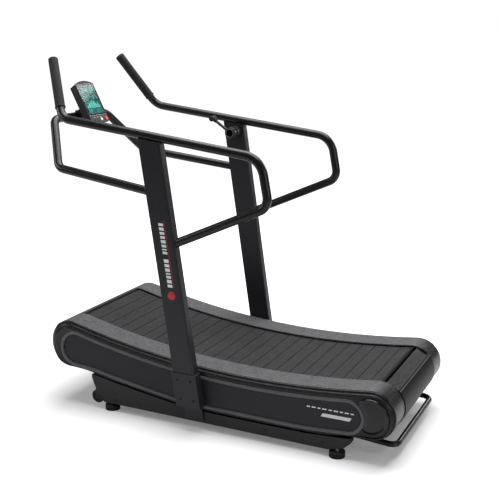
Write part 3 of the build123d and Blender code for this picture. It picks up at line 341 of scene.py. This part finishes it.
GREY_WEAR = grey(0.16, 0.165)
RUBBER_GRAIN = (800.0, 0.5, 0.0004)
PLASTIC_GRAIN = (1400.0, 0.3, 0.0002)
KEY_GRAIN = (900.0, 0.1, 0.0001)
INK = dict(rough=0.45, grain=(900.0, 0.08, 0.0001), drift=(20.0, 0.06), span=0.05)
PAINT = dict(grain=(1500.0, 0.12, 0.00015), drift=(5.0, 0.10), span=0.06, specular=0.28)
SURFACES = {
    # ribbed rubber, with a painted shade where the belt turns down under the rear hood
    "tread_rubber": dict(colour=grey(0.0095, 0.0100), rough=0.50, grain=(900.0, 0.35, 0.0004),
                         drift=(9.0, 0.3), span=0.12, wear=(0.5, grey(0.07)), specular=0.26, dust=0.05,
                         painted_shade_past=(0.752, 0.768)),
    # coarse anti-slip grit, with a painted shade where it folds over the rear end
    "strip_texture": dict(colour=grey(0.066, 0.070), rough=0.56, grain=(420.0, 0.55, 0.0009),
                          drift=(24.0, 0.40), span=0.16, wear=(0.6, grey(0.3, 0.31)),
                          speck=(95.0, 0.92, 0.50), specular=0.35, dust=0.08, painted_shade_past=(0.765, 0.815)),
    "dark_aluminium": dict(colour=grey(0.05, 0.052), rough=0.42, metal=0.8, brushed=(1.0, 0.04, 1.0),
                           wear=(0.5, grey(0.4))),
    "belt_rubber": dict(colour=grey(0.012), rough=0.8, grain=(1200.0, 0.4, 0.0003)),
    "cover_plastic": dict(colour=grey(0.0060, 0.0065), rough=0.30, grain=(1100.0, 0.25, 0.0002), edge=0.003,
                          wear=(0.45, GREY_WEAR), dust=0.05),
    "panel_plastic": dict(colour=grey(0.0120, 0.0145), rough=0.44, grain=PLASTIC_GRAIN, drift=(3.0, 0.12)),
    "cap_gloss": dict(colour=grey(0.0040, 0.0048), rough=0.22, grain=(240.0, 0.03, 0.0002), span=0.04,
                      specular=0.25, coat=0.12),
    "hood_grey": dict(colour=grey(0.045, 0.048), rough=0.44, grain=(1000.0, 0.25, 0.0002), edge=0.002,
                      wear=(0.5, GREY_WEAR), dust=0.06),
    "hood_black": dict(colour=grey(0.0045, 0.0050), rough=0.46, grain=(1000.0, 0.2, 0.0002), specular=0.10),
    "frame_paint": dict(colour=grey(0.0060, 0.0064), rough=0.40, wear=(0.4, GREY_WEAR), **PAINT),
    "runner_polymer": dict(colour=grey(0.016), rough=0.6),
    "track_aluminium": dict(colour=grey(0.06), rough=0.5, metal=1.0, brushed=(0.05, 1.0, 1.0)),
    "shaft_steel": dict(colour=grey(0.46, 0.47), rough=0.28, metal=1.0, brushed=(1.0, 0.05, 1.0)),
    "pulley_aluminium": dict(colour=grey(0.5, 0.51), rough=0.36, metal=1.0, wear=(0.5, grey(0.8))),
    "bearing_iron": dict(colour=grey(0.035, 0.037), rough=0.55, metal=0.4, grain=(500.0, 0.5, 0.0005)),
    "magnet_steel": dict(colour=grey(0.5), rough=0.3, metal=1.0),
    "foot_rubber": dict(colour=grey(0.014), rough=0.7, grain=RUBBER_GRAIN, wear=(0.4, grey(0.1)), dust=0.1),
    "screw_zinc": dict(colour=grey(0.42, 0.41), rough=0.34, metal=1.0, wear=(0.5, grey(0.7))),
    "wheel_rubber": dict(colour=grey(0.015), rough=0.62, grain=RUBBER_GRAIN, wear=(0.5, grey(0.1))),
    "tube_paint": dict(colour=grey(0.0055, 0.0060), rough=0.30, **PAINT),
    "upright_paint": dict(colour=grey(0.0135, 0.0160), rough=0.38, wear=(0.35, GREY_WEAR), **PAINT),
    # rubber of the grips, also used for the dark strips at the hood edges that paint the shadow of the gap
    "grip_rubber": dict(colour=grey(0.013), rough=0.78, grain=(900.0, 0.8, 0.0006), drift=(30.0, 0.25),
                        specular=0.3),
    "console_plastic": dict(colour=grey(0.018, 0.019), rough=0.4, grain=PLASTIC_GRAIN,
                            wear=(0.3, GREY_WEAR)),
    "key_silver": dict(colour=grey(0.62, 0.64), rough=0.32, grain=KEY_GRAIN, wear=(0.4, grey(0.9))),
    "key_red": dict(colour=(0.48, 0.03, 0.04), rough=0.34, grain=KEY_GRAIN, wear=(0.4, (0.7, 0.2, 0.2))),
    "lever_plastic": dict(colour=grey(0.014, 0.0145), rough=0.36, grain=(1200.0, 0.25, 0.0002),
                          wear=(0.3, GREY_WEAR)),
    "lever_silver": dict(colour=grey(0.020, 0.021), rough=0.28, wear=(0.5, grey(0.2))),
    # light grey of the panel rims, the rear hood bead and the lever ring: partly their trim colour, partly
    # a painted highlight along their rounded edges
    "rim_grey_highlight": dict(colour=grey(0.085, 0.088), rough=0.42, grain=(900.0, 0.3, 0.0002), drift=(6.0, 0.15),
                     wear=(0.5, grey(0.25, 0.26))),
    # white print, and also the painted highlight strips along the bezel edges
    "white_ink_and_highlight": dict(colour=grey(0.72, 0.73), **INK),
}
# nodes that look unlike their slot in the record, and the look each of them takes
LOOK_OF_NODE = {"lever_arm": "lever_plastic", "wheel_pins": "lever_plastic", "mode_button": "lever_plastic",
                "set_button": "lever_plastic", "rear_hood": "hood_black"}


def make_finishes():
    made = {name: surface(name, **values) for name, values in SURFACES.items()}
    made["lens_glass"] = glass_finish()
    made["lcd_glass"] = display_finish()
    made["lcd_ink"] = ink_finish()
    return made


def paint_nodes():
    for node, slot in SLOT_OF.items():
        data = NODES[node].data
        data.materials.clear()
        data.materials.append(FINISH[LOOK_OF_NODE.get(node, slot)])


# ---------------------------------------------------------------- mesh helpers
SHARP_ANGLE = math.radians(38)
FLAT_WITHIN = 0.0003
FEWEST_POINTS = 16
# any direction that no tube or screw lies along
OBLIQUE = Vector((0.31, 0.52, 0.79))
SMALLEST_R = 0.0002
WOBBLE_TURN = 1.9


def new_piece(name, bm, look, body="frame"):
    """Link a finished bmesh as a piece that rides on a body, with its look as the material."""
    bmesh.ops.recalc_face_normals(bm, faces=bm.faces)
    mesh = bpy.data.meshes.new(name)
    bm.to_mesh(mesh)
    bm.free()
    for polygon in mesh.polygons:
        polygon.use_smooth = True
    mesh.set_sharp_from_angle(angle=SHARP_ANGLE)
    piece = bpy.data.objects.new(name, mesh)
    bpy.context.collection.objects.link(piece)
    mesh.materials.append(FINISH[look])
    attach(piece, body)
    return piece


def skin(bm, rings, closed_path=True):
    """Join rings of points into a surface; a ring is one cross-section."""
    rows = [[bm.verts.new(point) for point in ring] for ring in rings]
    spans = len(rows) if closed_path else len(rows) - 1
    for i in range(spans):
        low = rows[i]
        high = rows[(i + 1) % len(rows)]
        for j in range(len(low)):
            k = (j + 1) % len(low)
            bm.faces.new((low[j], low[k], high[k], high[j]))
    if not closed_path:
        bm.faces.new(rows[0])
        bm.faces.new(list(reversed(rows[-1])))


def face_loops(node, y):
    """Closed outlines, as (x, z) points, of the flat faces of a node that lie at station y."""
    mesh = NODES[node].data
    turn = NODES[node].matrix_world
    points = [turn @ vertex.co for vertex in mesh.vertices]
    flat = [abs(point.y - y) < FLAT_WITHIN for point in points]
    key = [(round(point.x, 5), round(point.z, 5)) for point in points]
    count = {}
    for polygon in mesh.polygons:
        if not all(flat[index] for index in polygon.vertices):
            continue
        corners = [key[index] for index in polygon.vertices]
        for start, end in zip(corners, corners[1:] + corners[:1]):
            if start != end:
                pair = (start, end) if start < end else (end, start)
                count[pair] = count.get(pair, 0) + 1
    links = {}
    for (start, end), times in count.items():
        if times == 1:
            links.setdefault(start, []).append(end)
            links.setdefault(end, []).append(start)
    loops = []
    while links:
        first = next(iter(links))
        loop = [first]
        while True:
            ahead = links.pop(loop[-1], [])
            follow = [point for point in ahead if point in links and point != loop[0]]
            if not follow:
                break
            loop.append(follow[0])
        if len(loop) > 3:
            loops.append(loop)
    return sorted(loops, key=lambda loop: -abs(loop_area(loop)))


def loop_area(loop):
    return sum(a[0] * b[1] - b[0] * a[1] for a, b in zip(loop, loop[1:] + loop[:1])) / 2


def even_loop(loop, step):
    """The same outline, anticlockwise, with evenly spaced points."""
    if loop_area(loop) < 0:
        loop = list(reversed(loop))
    ends = [Vector(point) for point in loop + loop[:1]]
    lengths = [(b - a).length for a, b in zip(ends, ends[1:])]
    total = sum(lengths)
    count = max(FEWEST_POINTS, round(total / step))
    made = []
    index = 0
    passed = 0.0
    for number in range(count):
        want = total * number / count
        while passed + lengths[index] < want:
            passed += lengths[index]
            index += 1
        share = (want - passed) / lengths[index]
        made.append(ends[index].lerp(ends[index + 1], share))
    return made


def loop_normals(points):
    """Outward normals of an anticlockwise outline, smoothed over its neighbours."""
    count = len(points)
    normals = []
    for index in range(count):
        along = points[(index + 2) % count] - points[index - 2]
        normals.append(Vector((along.y, -along.x)).normalized())
    return normals


def sweep_outline(name, points, profile, side, look, flatten=0.0):
    """Sweep a profile of (outward offset, y) round an outline; flatten shrinks the offset underneath."""
    bm = bmesh.new()
    rings = []
    for point, normal in zip(points, loop_normals(points)):
        under = min(1.0, max(0.0, -normal.y * 1.6 - 0.3))
        ring = []
        for offset, y in profile:
            place = point + normal * offset * (1.0 - flatten * under)
            ring.append((place.x, side * y, place.y))
        rings.append(ring)
    skin(bm, rings)
    return new_piece(name, bm, look)


def tube_ring(name, path, radius, look, closed=True, sides=10, wobble=0.0):
    """Round bead that follows a path of points."""
    bm = bmesh.new()
    rings = []
    count = len(path)
    for index, point in enumerate(path):
        last = path[index - 1] if closed or index else point
        ahead = path[(index + 1) % count] if closed or index < count - 1 else point
        along = (ahead - last).normalized()
        first = along.cross(OBLIQUE).normalized()
        second = along.cross(first)
        size = radius * (1 + wobble * math.sin(index * WOBBLE_TURN))
        turns = [2 * math.pi * step / sides for step in range(sides)]
        rings.append([point + first * size * math.cos(a) + second * size * math.sin(a) for a in turns])
    skin(bm, rings, closed_path=closed)
    return new_piece(name, bm, look)


def circle_path(centre, normal, radius, count):
    normal = Vector(normal).normalized()
    first = normal.cross(OBLIQUE).normalized()
    second = normal.cross(first)
    turns = [2 * math.pi * step / count for step in range(count)]
    return [Vector(centre) + (first * math.cos(a) + second * math.sin(a)) * radius for a in turns]


def cut_path(meet, along, radius, slope, count):
    """Where a round tube meets a flat face; its axis crosses the face at meet."""
    along = along.normalized()
    path = []
    for point in circle_path(meet, along, radius, count):
        reach = (meet - point).dot(slope) / along.dot(slope)
        path.append(point + along * reach)
    return path


def badge(name, corners, plane, height, look):
    """Thin raised shape on a flat face; plane is (origin, across, up, out)."""
    origin, across, up, out = plane
    bm = bmesh.new()
    rows = []
    for level in (-height, height * 0.6, height):
        rows.append([origin + across * x + up * y + out * level for x, y in corners])
    skin(bm, rows, closed_path=False)
    return new_piece(name, bm, look)


def turned(name, centre, axis, profile, look, body="frame", count=40):
    """Turned piece: profile of (radius, distance along the axis)."""
    bm = bmesh.new()
    axis = Vector(axis).normalized()
    rings = []
    for radius, high in profile:
        rings.append(circle_path(Vector(centre) + axis * high, axis, max(radius, SMALLEST_R), count))
    skin(bm, rings, closed_path=False)
    return new_piece(name, bm, look, body)


# ---------------------------------------------------------------- deck trim
# profiles are (outward offset, y)
COVER_EDGE = (
    (0.0006, 0.3603), (0.0004, 0.3622), (-0.0010, 0.3646), (-0.0032, 0.3660),
    (-0.0060, 0.3662), (-0.0080, 0.3648), (-0.0088, 0.3650), (-0.0098, 0.3690),
    (-0.0122, 0.3728), (-0.0155, 0.3753), (-0.0192, 0.3767), (-0.0235, 0.3770),
    (-0.0262, 0.3762), (-0.0262, 0.3720), (-0.0120, 0.3640), (-0.0020, 0.3603),
)
PANEL_RIM = (
    (-0.0012, 0.3715), (-0.0010, 0.3765), (0.0004, 0.3790), (0.0028, 0.3803), (0.0062, 0.3808),
    (0.0096, 0.3804), (0.0124, 0.3790), (0.0138, 0.3768), (0.0140, 0.3750), (0.0060, 0.3740),
)
COVER_STEP = 0.008
PANEL_STEP = 0.006
COVER_FLATTEN = 0.6
# (end, drum centre, radius, how proud)
END_DISCS = (("front", FRONT_DRUM, 0.078, 0.45), ("rear", REAR_DRUM, 0.079, 1.15))


def make_deck_trim():
    """Rolled edge of the side covers, the rim round the recessed panel and the glossy end discs."""
    outer = even_loop(face_loops("side_cover_right", COVER_STEP_SIDE)[0], COVER_STEP)
    panel = even_loop(face_loops("side_panels", PANEL_SIDE)[0], PANEL_STEP)
    for tag, side in SIDES:
        sweep_outline(f"cover_edge_{tag}", outer, COVER_EDGE, side, "cover_plastic", COVER_FLATTEN)
        # the rim is light grey, partly a painted highlight along its rounded ridge
        sweep_outline(f"panel_rim_{tag}", panel, PANEL_RIM, side, "rim_grey_highlight")
    for end, centre, reach, scale in END_DISCS:
        for tag, side in SIDES:
            end_disc(f"end_disc_{end}_{tag}", centre, reach, side, panel, scale)
    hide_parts("end_caps")


def outline_gap(point, loop):
    """Signed distance from a point to an outline, negative inside."""
    nearest = min((corner - point).length for corner in loop)
    inside = False
    for a, b in zip(loop, loop[1:] + loop[:1]):
        if (a.y > point.y) != (b.y > point.y):
            if point.x < a.x + (point.y - a.y) * (b.x - a.x) / (b.y - a.y):
                inside = not inside
    return -nearest if inside else nearest


# height of the disc at a share of its radius
DISC_RISE = (
    (0.0, 0.0078), (0.45, 0.0074), (0.70, 0.0062), (0.80, 0.0052), (0.84, 0.0066),
    (0.89, 0.0090), (0.94, 0.0092), (0.975, 0.0074), (0.993, 0.0040), (1.0, 0.0),
)
DISC_SHARES = (0.0, 0.15, 0.3, 0.45, 0.6, 0.7, 0.76, 0.8, 0.82, 0.84, 0.865, 0.89, 0.915,
               0.94, 0.96, 0.975, 0.985, 0.993, 1.0)
DISC_TURNS = 72
DISC_GAP = 0.0004
DISC_SHELL = 0.0012
DISC_BLEND = (0.010, 0.024)
DISC_CUT = 0.004


def disc_row(centre, reach, side, panel, scale, share, bm):
    """One ring of a disc as (vertex, distance from the panel), sinking towards the panel."""
    start, width = DISC_BLEND
    row = []
    for step in range(DISC_TURNS):
        angle = 2 * math.pi * step / DISC_TURNS
        point = Vector(centre) + Vector((math.cos(angle), math.sin(angle))) * reach * share
        gap = outline_gap(point, panel)
        keep = min(1.0, max(0.0, (gap - start) / width))
        rise = scale * interpolate(DISC_RISE, share) * keep * keep * (3 - 2 * keep)
        row.append((bm.verts.new((point.x, side * (DECK_SIDE + DISC_GAP + rise), point.y)), gap))
    return row


def end_disc(name, centre, reach, side, panel, scale):
    """Domed disc with a raised rim, tucked under the rim of the panel."""
    bm = bmesh.new()
    rows = [disc_row(centre, reach, side, panel, scale, share, bm) for share in DISC_SHARES]
    for low, high in zip(rows, rows[1:]):
        for j in range(DISC_TURNS):
            k = (j + 1) % DISC_TURNS
            corners = [low[j], low[k], high[k], high[j]]
            if max(gap for _, gap in corners) > DISC_CUT:
                bm.faces.new([vertex for vertex, _ in corners])
    bmesh.ops.remove_doubles(bm, verts=bm.verts, dist=0.00001)
    loose = [vertex for vertex in bm.verts if not vertex.link_faces]
    bmesh.ops.delete(bm, geom=loose, context="VERTS")
    piece = new_piece(name, bm, "cap_gloss")
    shell = piece.modifiers.new("thickness", "SOLIDIFY")
    shell.thickness = DISC_SHELL
    shell.offset = -1.0
    return piece


def interpolate(table, value):
    """Value of a table of (place, value) rows, straight between them."""
    for (x0, y0), (x1, y1) in zip(table, table[1:]):
        if x0 <= value <= x1:
            return y0 + (y1 - y0) * (value - x0) / (x1 - x0)
    return table[-1][1]


# dark rubber strips on the hood edges: a painted shadow of the gap between each hood and the slats
# (hood, drum centre, angle of the edge, distance from the drum)
HOOD_SHADOW_STRIPS = (("front", FRONT_DRUM, 94.0, 0.1046), ("rear", REAR_DRUM, 46.0, 0.1046))
SHADOW_STRIP_STATIONS = (-HOOD_HALF, -0.236, -0.12, 0.0, 0.12, 0.236, HOOD_HALF)
SHADOW_STRIP_R = 0.0034
BEAD_ANGLE = 41.5
BEAD_REACH = 0.1072
BEAD_R = 0.0014


def across_path(centre, angle, reach, stations):
    """Straight path across the machine at a polar place round a drum."""
    turn = math.radians(angle)
    x = centre[0] + reach * math.cos(turn)
    z = centre[1] + reach * math.sin(turn)
    return [Vector((x, y, z)) for y in stations]


def make_hood_shadow_strips():
    """Dark rubber strip on the edge of each hood, a painted shadow of the gap to the slats, and a bead
    along the rear one.
    """
    for tag, centre, angle, reach in HOOD_SHADOW_STRIPS:
        path = across_path(centre, angle, reach, SHADOW_STRIP_STATIONS)
        tube_ring(f"hood_shadow_strip_{tag}", path, SHADOW_STRIP_R, "grip_rubber", closed=False, sides=14)
    # light bead at the rear hood's edge, partly a painted highlight of that edge
    path = across_path(REAR_DRUM, BEAD_ANGLE, BEAD_REACH, (-HOOD_HALF, 0.0, HOOD_HALF))
    tube_ring("hood_bead_highlight_rear", path, BEAD_R, "rim_grey_highlight", closed=False)


# ---------------------------------------------------------------- tubes
# turned profiles are (radius, distance along the axis)
GRIP_COLLAR = (
    (0.0192, -0.0050), (0.0222, -0.0050), (0.0232, -0.0040), (0.0234, -0.0012),
    (0.0234, 0.0030), (0.0226, 0.0044), (0.0200, 0.0048),
)
GRIP_PLUG = (
    (0.0188, -0.0060), (0.0205, 0.0008), (0.0188, 0.0026), (0.0130, 0.0044),
    (0.0060, 0.0052), (0.0, 0.0054),
)
PLUG_RISE = 0.0035
WELD_R = 0.0019
WELD_GAP = 0.0004
WELD_STEPS = 56
WELD_WOBBLE = 0.22


def mirrored(point):
    return Vector((point.x, -point.y, point.z))


def upright_point(z, side=0.0):
    """Middle of an upright at height z."""
    return Vector((UPRIGHT_X + UPRIGHT_LEAN * (z - UPRIGHT_Z), side, z))


def post_meeting(near, far, edge):
    """Where a tube's axis crosses the front (-1) or rear (1) edge of the upright."""
    height = near.z
    for _ in range(5):
        share = (upright_point(height).x + edge * UPRIGHT_HALF - near.x) / (far.x - near.x)
        height = near.z + share * (far.z - near.z)
    return near.lerp(far, share)


def make_tube_details():
    """Weld beads where tubes meet the uprights, collars and plugs of the grips."""
    slope = Vector((1.0, 0.0, -UPRIGHT_LEAN)).normalized()
    for tag, turn in (("left", mirrored), ("right", Vector)):
        for joint, ends, edge in (("rail", RAIL_LOW, 1), ("front", FRONT_LOW, -1)):
            near, far = turn(ends[0]), turn(ends[1])
            meet = post_meeting(near, far, edge)
            path = cut_path(meet, far - near, TUBE_R + WELD_GAP, slope, WELD_STEPS)
            tube_ring(f"weld_{joint}_{tag}", path, WELD_R, "tube_paint", wobble=WELD_WOBBLE, sides=8)
        low, tip = turn(GRIP[0]), turn(GRIP[1])
        along = (tip - low).normalized()
        turned(f"grip_collar_{tag}", low + along * GRIP_START, along, GRIP_COLLAR, "grip_rubber")
        turned(f"grip_plug_{tag}", tip + along * PLUG_RISE, along, GRIP_PLUG, "grip_rubber")


# ---------------------------------------------------------------- screws
# button head with a socket, as (share of the radius, height)
SCREW_HEAD = (
    (1.0, -0.0004), (1.0, 0.0008), (0.94, 0.0020), (0.74, 0.0031), (0.50, 0.0035),
    (0.48, 0.0034), (0.46, 0.0012), (0.0, 0.0012),
)
SOCKET_SCREW_R = 0.0062
SOCKET_SCREWS = ((-0.034, 0.150), (0.030, 0.150), (-0.034, 0.238), (0.030, 0.238))
BEAM_SCREW_R = 0.0058
BEAM_SCREW_Z = 0.058
BEAM_SCREWS = (-0.46, 0.30, 0.56)


def screw(name, centre, axis, radius):
    """Button-head screw with a round socket."""
    profile = [(share * radius, height) for share, height in SCREW_HEAD]
    return turned(name, centre, axis, profile, "frame_paint", count=24)


def make_bolts():
    """Button-head screws of the post sockets and along the base beams."""
    for tag, side in SIDES:
        out = (0.0, side, 0.0)
        for number, (dx, z) in enumerate(SOCKET_SCREWS):
            place = upright_point(z, side * SOCKET_SIDE) + ALONG * dx
            screw(f"socket_bolt_{number}_{tag}", place, out, SOCKET_SCREW_R)
        for number, x in enumerate(BEAM_SCREWS):
            screw(f"beam_bolt_{number}_{tag}", (x, side * BEAM_SIDE, BEAM_SCREW_Z), out, BEAM_SCREW_R)


# ---------------------------------------------------------------- surface graphics, all generic
INK_HEIGHT = 0.0003
COLUMN_Z = 0.654
BAR_HALF = 0.0115
BAR_GAP = 0.0062
# lengths of the bars; a negative one is left blank
BAR_LENGTHS = (0.013, 0.015, 0.011, 0.006, 0.014, 0.013, 0.015, -0.010,
               0.011, 0.006, 0.012, 0.014, 0.011, 0.012, 0.013, 0.012)
LINE_CORNERS = ((0.0172, 0.0), (0.0188, 0.0), (0.0188, 0.300), (0.0172, 0.300))
DOT_Z = 0.617
DOT = ((0.0185, -0.0003), (0.0185, 0.0005), (0.0174, 0.0009), (0.0, 0.0010))


def make_upright_graphics():
    """A column of plain bars, a thin accent line and a round badge on each upright."""
    for tag, side in SIDES:
        out = Vector((0.0, side, 0.0))
        lean = Vector((UPRIGHT_LEAN, 0.0, 1.0)).normalized()
        plane = (upright_point(COLUMN_Z, side * UPRIGHT_SIDE), ALONG, lean, out)
        start = 0.0
        number = 0
        for length in BAR_LENGTHS:
            if length > 0:
                end = start + length
                corners = ((-BAR_HALF, start), (BAR_HALF, start), (BAR_HALF, end), (-BAR_HALF, end))
                badge(f"upright_bar_{number}_{tag}", corners, plane, INK_HEIGHT, "white_ink_and_highlight")
                number += 1
            start += abs(length) + BAR_GAP
        badge(f"upright_line_{tag}", LINE_CORNERS, plane, INK_HEIGHT, "key_red")
        turned(f"upright_dot_{tag}", upright_point(DOT_Z, side * UPRIGHT_SIDE), out, DOT, "key_red")


STRIPE = ((0.552, 0.172), (0.678, 0.172), (0.687, 0.187), (0.561, 0.187))
STRIPE_HEIGHT = 0.0004
DASH_X = 0.489
DASH_Z = (0.2035, 0.2085)
DASH_SLANT = 0.002
DASH_GAP = 0.008
DASH_WIDTHS = (0.014, 0.018, 0.012, 0.020, 0.015, 0.019, 0.013, 0.017, 0.014)


def make_panel_graphics():
    """Generic stripe and dashes near the rear of each side panel."""
    low, high = DASH_Z
    for tag, side in SIDES:
        plane = (Vector((0.0, side * PANEL_SIDE, 0.0)), ALONG, UP, Vector((0.0, side, 0.0)))
        badge(f"panel_stripe_{tag}", STRIPE, plane, STRIPE_HEIGHT, "key_silver")
        start = DASH_X
        for number, width in enumerate(DASH_WIDTHS):
            end = start + width
            dash = ((start, low), (end, low), (end + DASH_SLANT, high), (start + DASH_SLANT, high))
            badge(f"panel_dash_{number}_{tag}", dash, plane, INK_HEIGHT, "white_ink_and_highlight")
            start = end + DASH_GAP


# ---------------------------------------------------------------- console
SEGMENTS = {
    "0": "abcdef", "1": "bc", "2": "abged", "3": "abgcd", "4": "fgbc",
    "5": "afgcd", "6": "afgedc", "7": "abc", "8": "abcdefg",
}
# bar of a seven-segment figure: its place in half widths and half heights, and whether it lies flat
SEGMENT_PLACE = {
    "a": (0, 2, True), "b": (1, 1, False), "c": (1, 0, False), "d": (0, 0, True),
    "e": (0, 0, False), "f": (0, 1, False), "g": (0, 1, True),
}
SEGMENT_SHAPE = ((0.08, 0), (0.2, 0.5), (0.8, 0.5), (0.92, 0), (0.8, -0.5), (0.2, -0.5))
DIGIT_WIDTH = 0.52
DIGIT_THICK = 0.10
DIGIT_PITCH = 0.78
LCD_LIFT = 0.0036
LCD_HEIGHT = 0.00015
BEZEL_LIFT = 0.005
LABEL_HEIGHT = 0.0002
# (name, figures, across, up, size) of each reading
READINGS = (
    ("time", "1842", -0.050, 0.048, 0.017), ("pace", "126", 0.014, 0.048, 0.017),
    ("beat", "074", -0.050, 0.015, 0.013), ("step", "350", 0.014, 0.015, 0.013),
    ("far", "268", -0.050, -0.052, 0.011), ("heat", "417", 0.014, -0.052, 0.011),
)
TAG_DROP = 0.0042
TAG_SIZE = (0.016, 0.0014)
CELL_COUNTS = (2, 3, 5, 4, 6, 7, 5, 6, 4, 3, 5, 2)
CELL_START = (-0.050, -0.034)
CELL_PITCH = (0.0086, 0.0056)
CELL_SIZE = (0.0066, 0.0040)
LABELS = (("mode", -0.042), ("set", -0.016), ("reset", 0.010))
LABEL_V = -0.0845
LABEL_SIZE = (0.010, 0.0016)
# painted highlights: two thin white strips along the top and bottom edges of the bezel
BEZEL_HIGHLIGHTS = ((-0.0655, -0.0735), (-0.0655, 0.0880))
BEZEL_HIGHLIGHT_SIZE = (0.131, 0.0007)
CONSOLE_SCREWS = ((-0.048, 0.0), (0.048, 0.0), (-0.040, -0.0765), (0.040, -0.0765))
CONSOLE_BACK = 0.0338
CONSOLE_SCREW_R = 0.0034


def face_badge(name, corners, lift, height, look):
    """Badge on the tilted face of the console, lifted off its middle plane."""
    plane = (FACE + FACE_NORMAL * lift, FACE_ACROSS, FACE_UP, FACE_NORMAL)
    return badge(name, corners, plane, height, look)


def rectangle(u, v, width, height):
    return ((u, v), (u + width, v), (u + width, v + height), (u, v + height))


def digit(name, figure, u, v, size):
    """One seven-segment figure, each bar a slim hexagon."""
    wide = size * DIGIT_WIDTH
    thick = size * DIGIT_THICK
    half = size / 2
    for part in SEGMENTS[figure]:
        right, high, flat = SEGMENT_PLACE[part]
        x = u + right * wide
        y = v + high * half
        length = wide if flat else half
        corners = []
        for share, off in SEGMENT_SHAPE:
            reach = share * length
            aside = off * thick
            corners.append((x + reach, y + aside) if flat else (x - aside, y + reach))
        face_badge(f"{name}_{part}", corners, LCD_LIFT, LCD_HEIGHT, "lcd_ink")


def make_display():
    """Made-up readings and level bars."""
    for name, text, u, v, size in READINGS:
        for number, figure in enumerate(text):
            digit(f"lcd_{name}_{number}", figure, u + number * size * DIGIT_PITCH, v, size)
        tag = rectangle(u, v - TAG_DROP, *TAG_SIZE)
        face_badge(f"lcd_tag_{name}", tag, LCD_LIFT, LCD_HEIGHT, "lcd_ink")
    for number, count in enumerate(CELL_COUNTS):
        u = CELL_START[0] + number * CELL_PITCH[0]
        for row in range(count):
            cell = rectangle(u, CELL_START[1] + row * CELL_PITCH[1], *CELL_SIZE)
            face_badge(f"lcd_cell_{number}_{row}", cell, LCD_LIFT, LCD_HEIGHT, "lcd_ink")


def make_console():
    """Display, marks by the keys, painted highlights on the bezel edges and the screws of the back."""
    make_display()
    for name, u in LABELS:
        mark = rectangle(u, LABEL_V, *LABEL_SIZE)
        face_badge(f"label_{name}", mark, BEZEL_LIFT, LABEL_HEIGHT, "white_ink_and_highlight")
    for number, (u, v) in enumerate(BEZEL_HIGHLIGHTS):
        line = rectangle(u, v, *BEZEL_HIGHLIGHT_SIZE)
        face_badge(f"bezel_highlight_{number}", line, BEZEL_LIFT, LABEL_HEIGHT, "white_ink_and_highlight")
    for number, (u, v) in enumerate(CONSOLE_SCREWS):
        place = FACE + FACE_ACROSS * u + FACE_UP * v - FACE_NORMAL * CONSOLE_BACK
        screw(f"console_screw_{number}", place, -FACE_NORMAL, CONSOLE_SCREW_R)


LEVER_RING = (
    (0.0178, -0.0002), (0.0176, 0.0010), (0.0186, 0.0018), (0.0204, 0.0018),
    (0.0216, 0.0008), (0.0216, -0.0002),
)


def make_lever_ring():
    """Ring round the cap of the lever; it turns with the lever."""
    # the ring's light grey is partly a painted highlight
    turned("lever_ring", LEVER_HUB, (0.0, -1.0, 0.0), LEVER_RING, "rim_grey_highlight",
           body="resistance_lever")


make_camera()
make_lights()
FINISH = make_finishes()
make_floor()
paint_nodes()
make_deck_trim()
make_hood_shadow_strips()
make_tube_details()
make_bolts()
make_upright_graphics()
make_panel_graphics()
make_console()
make_lever_ring()
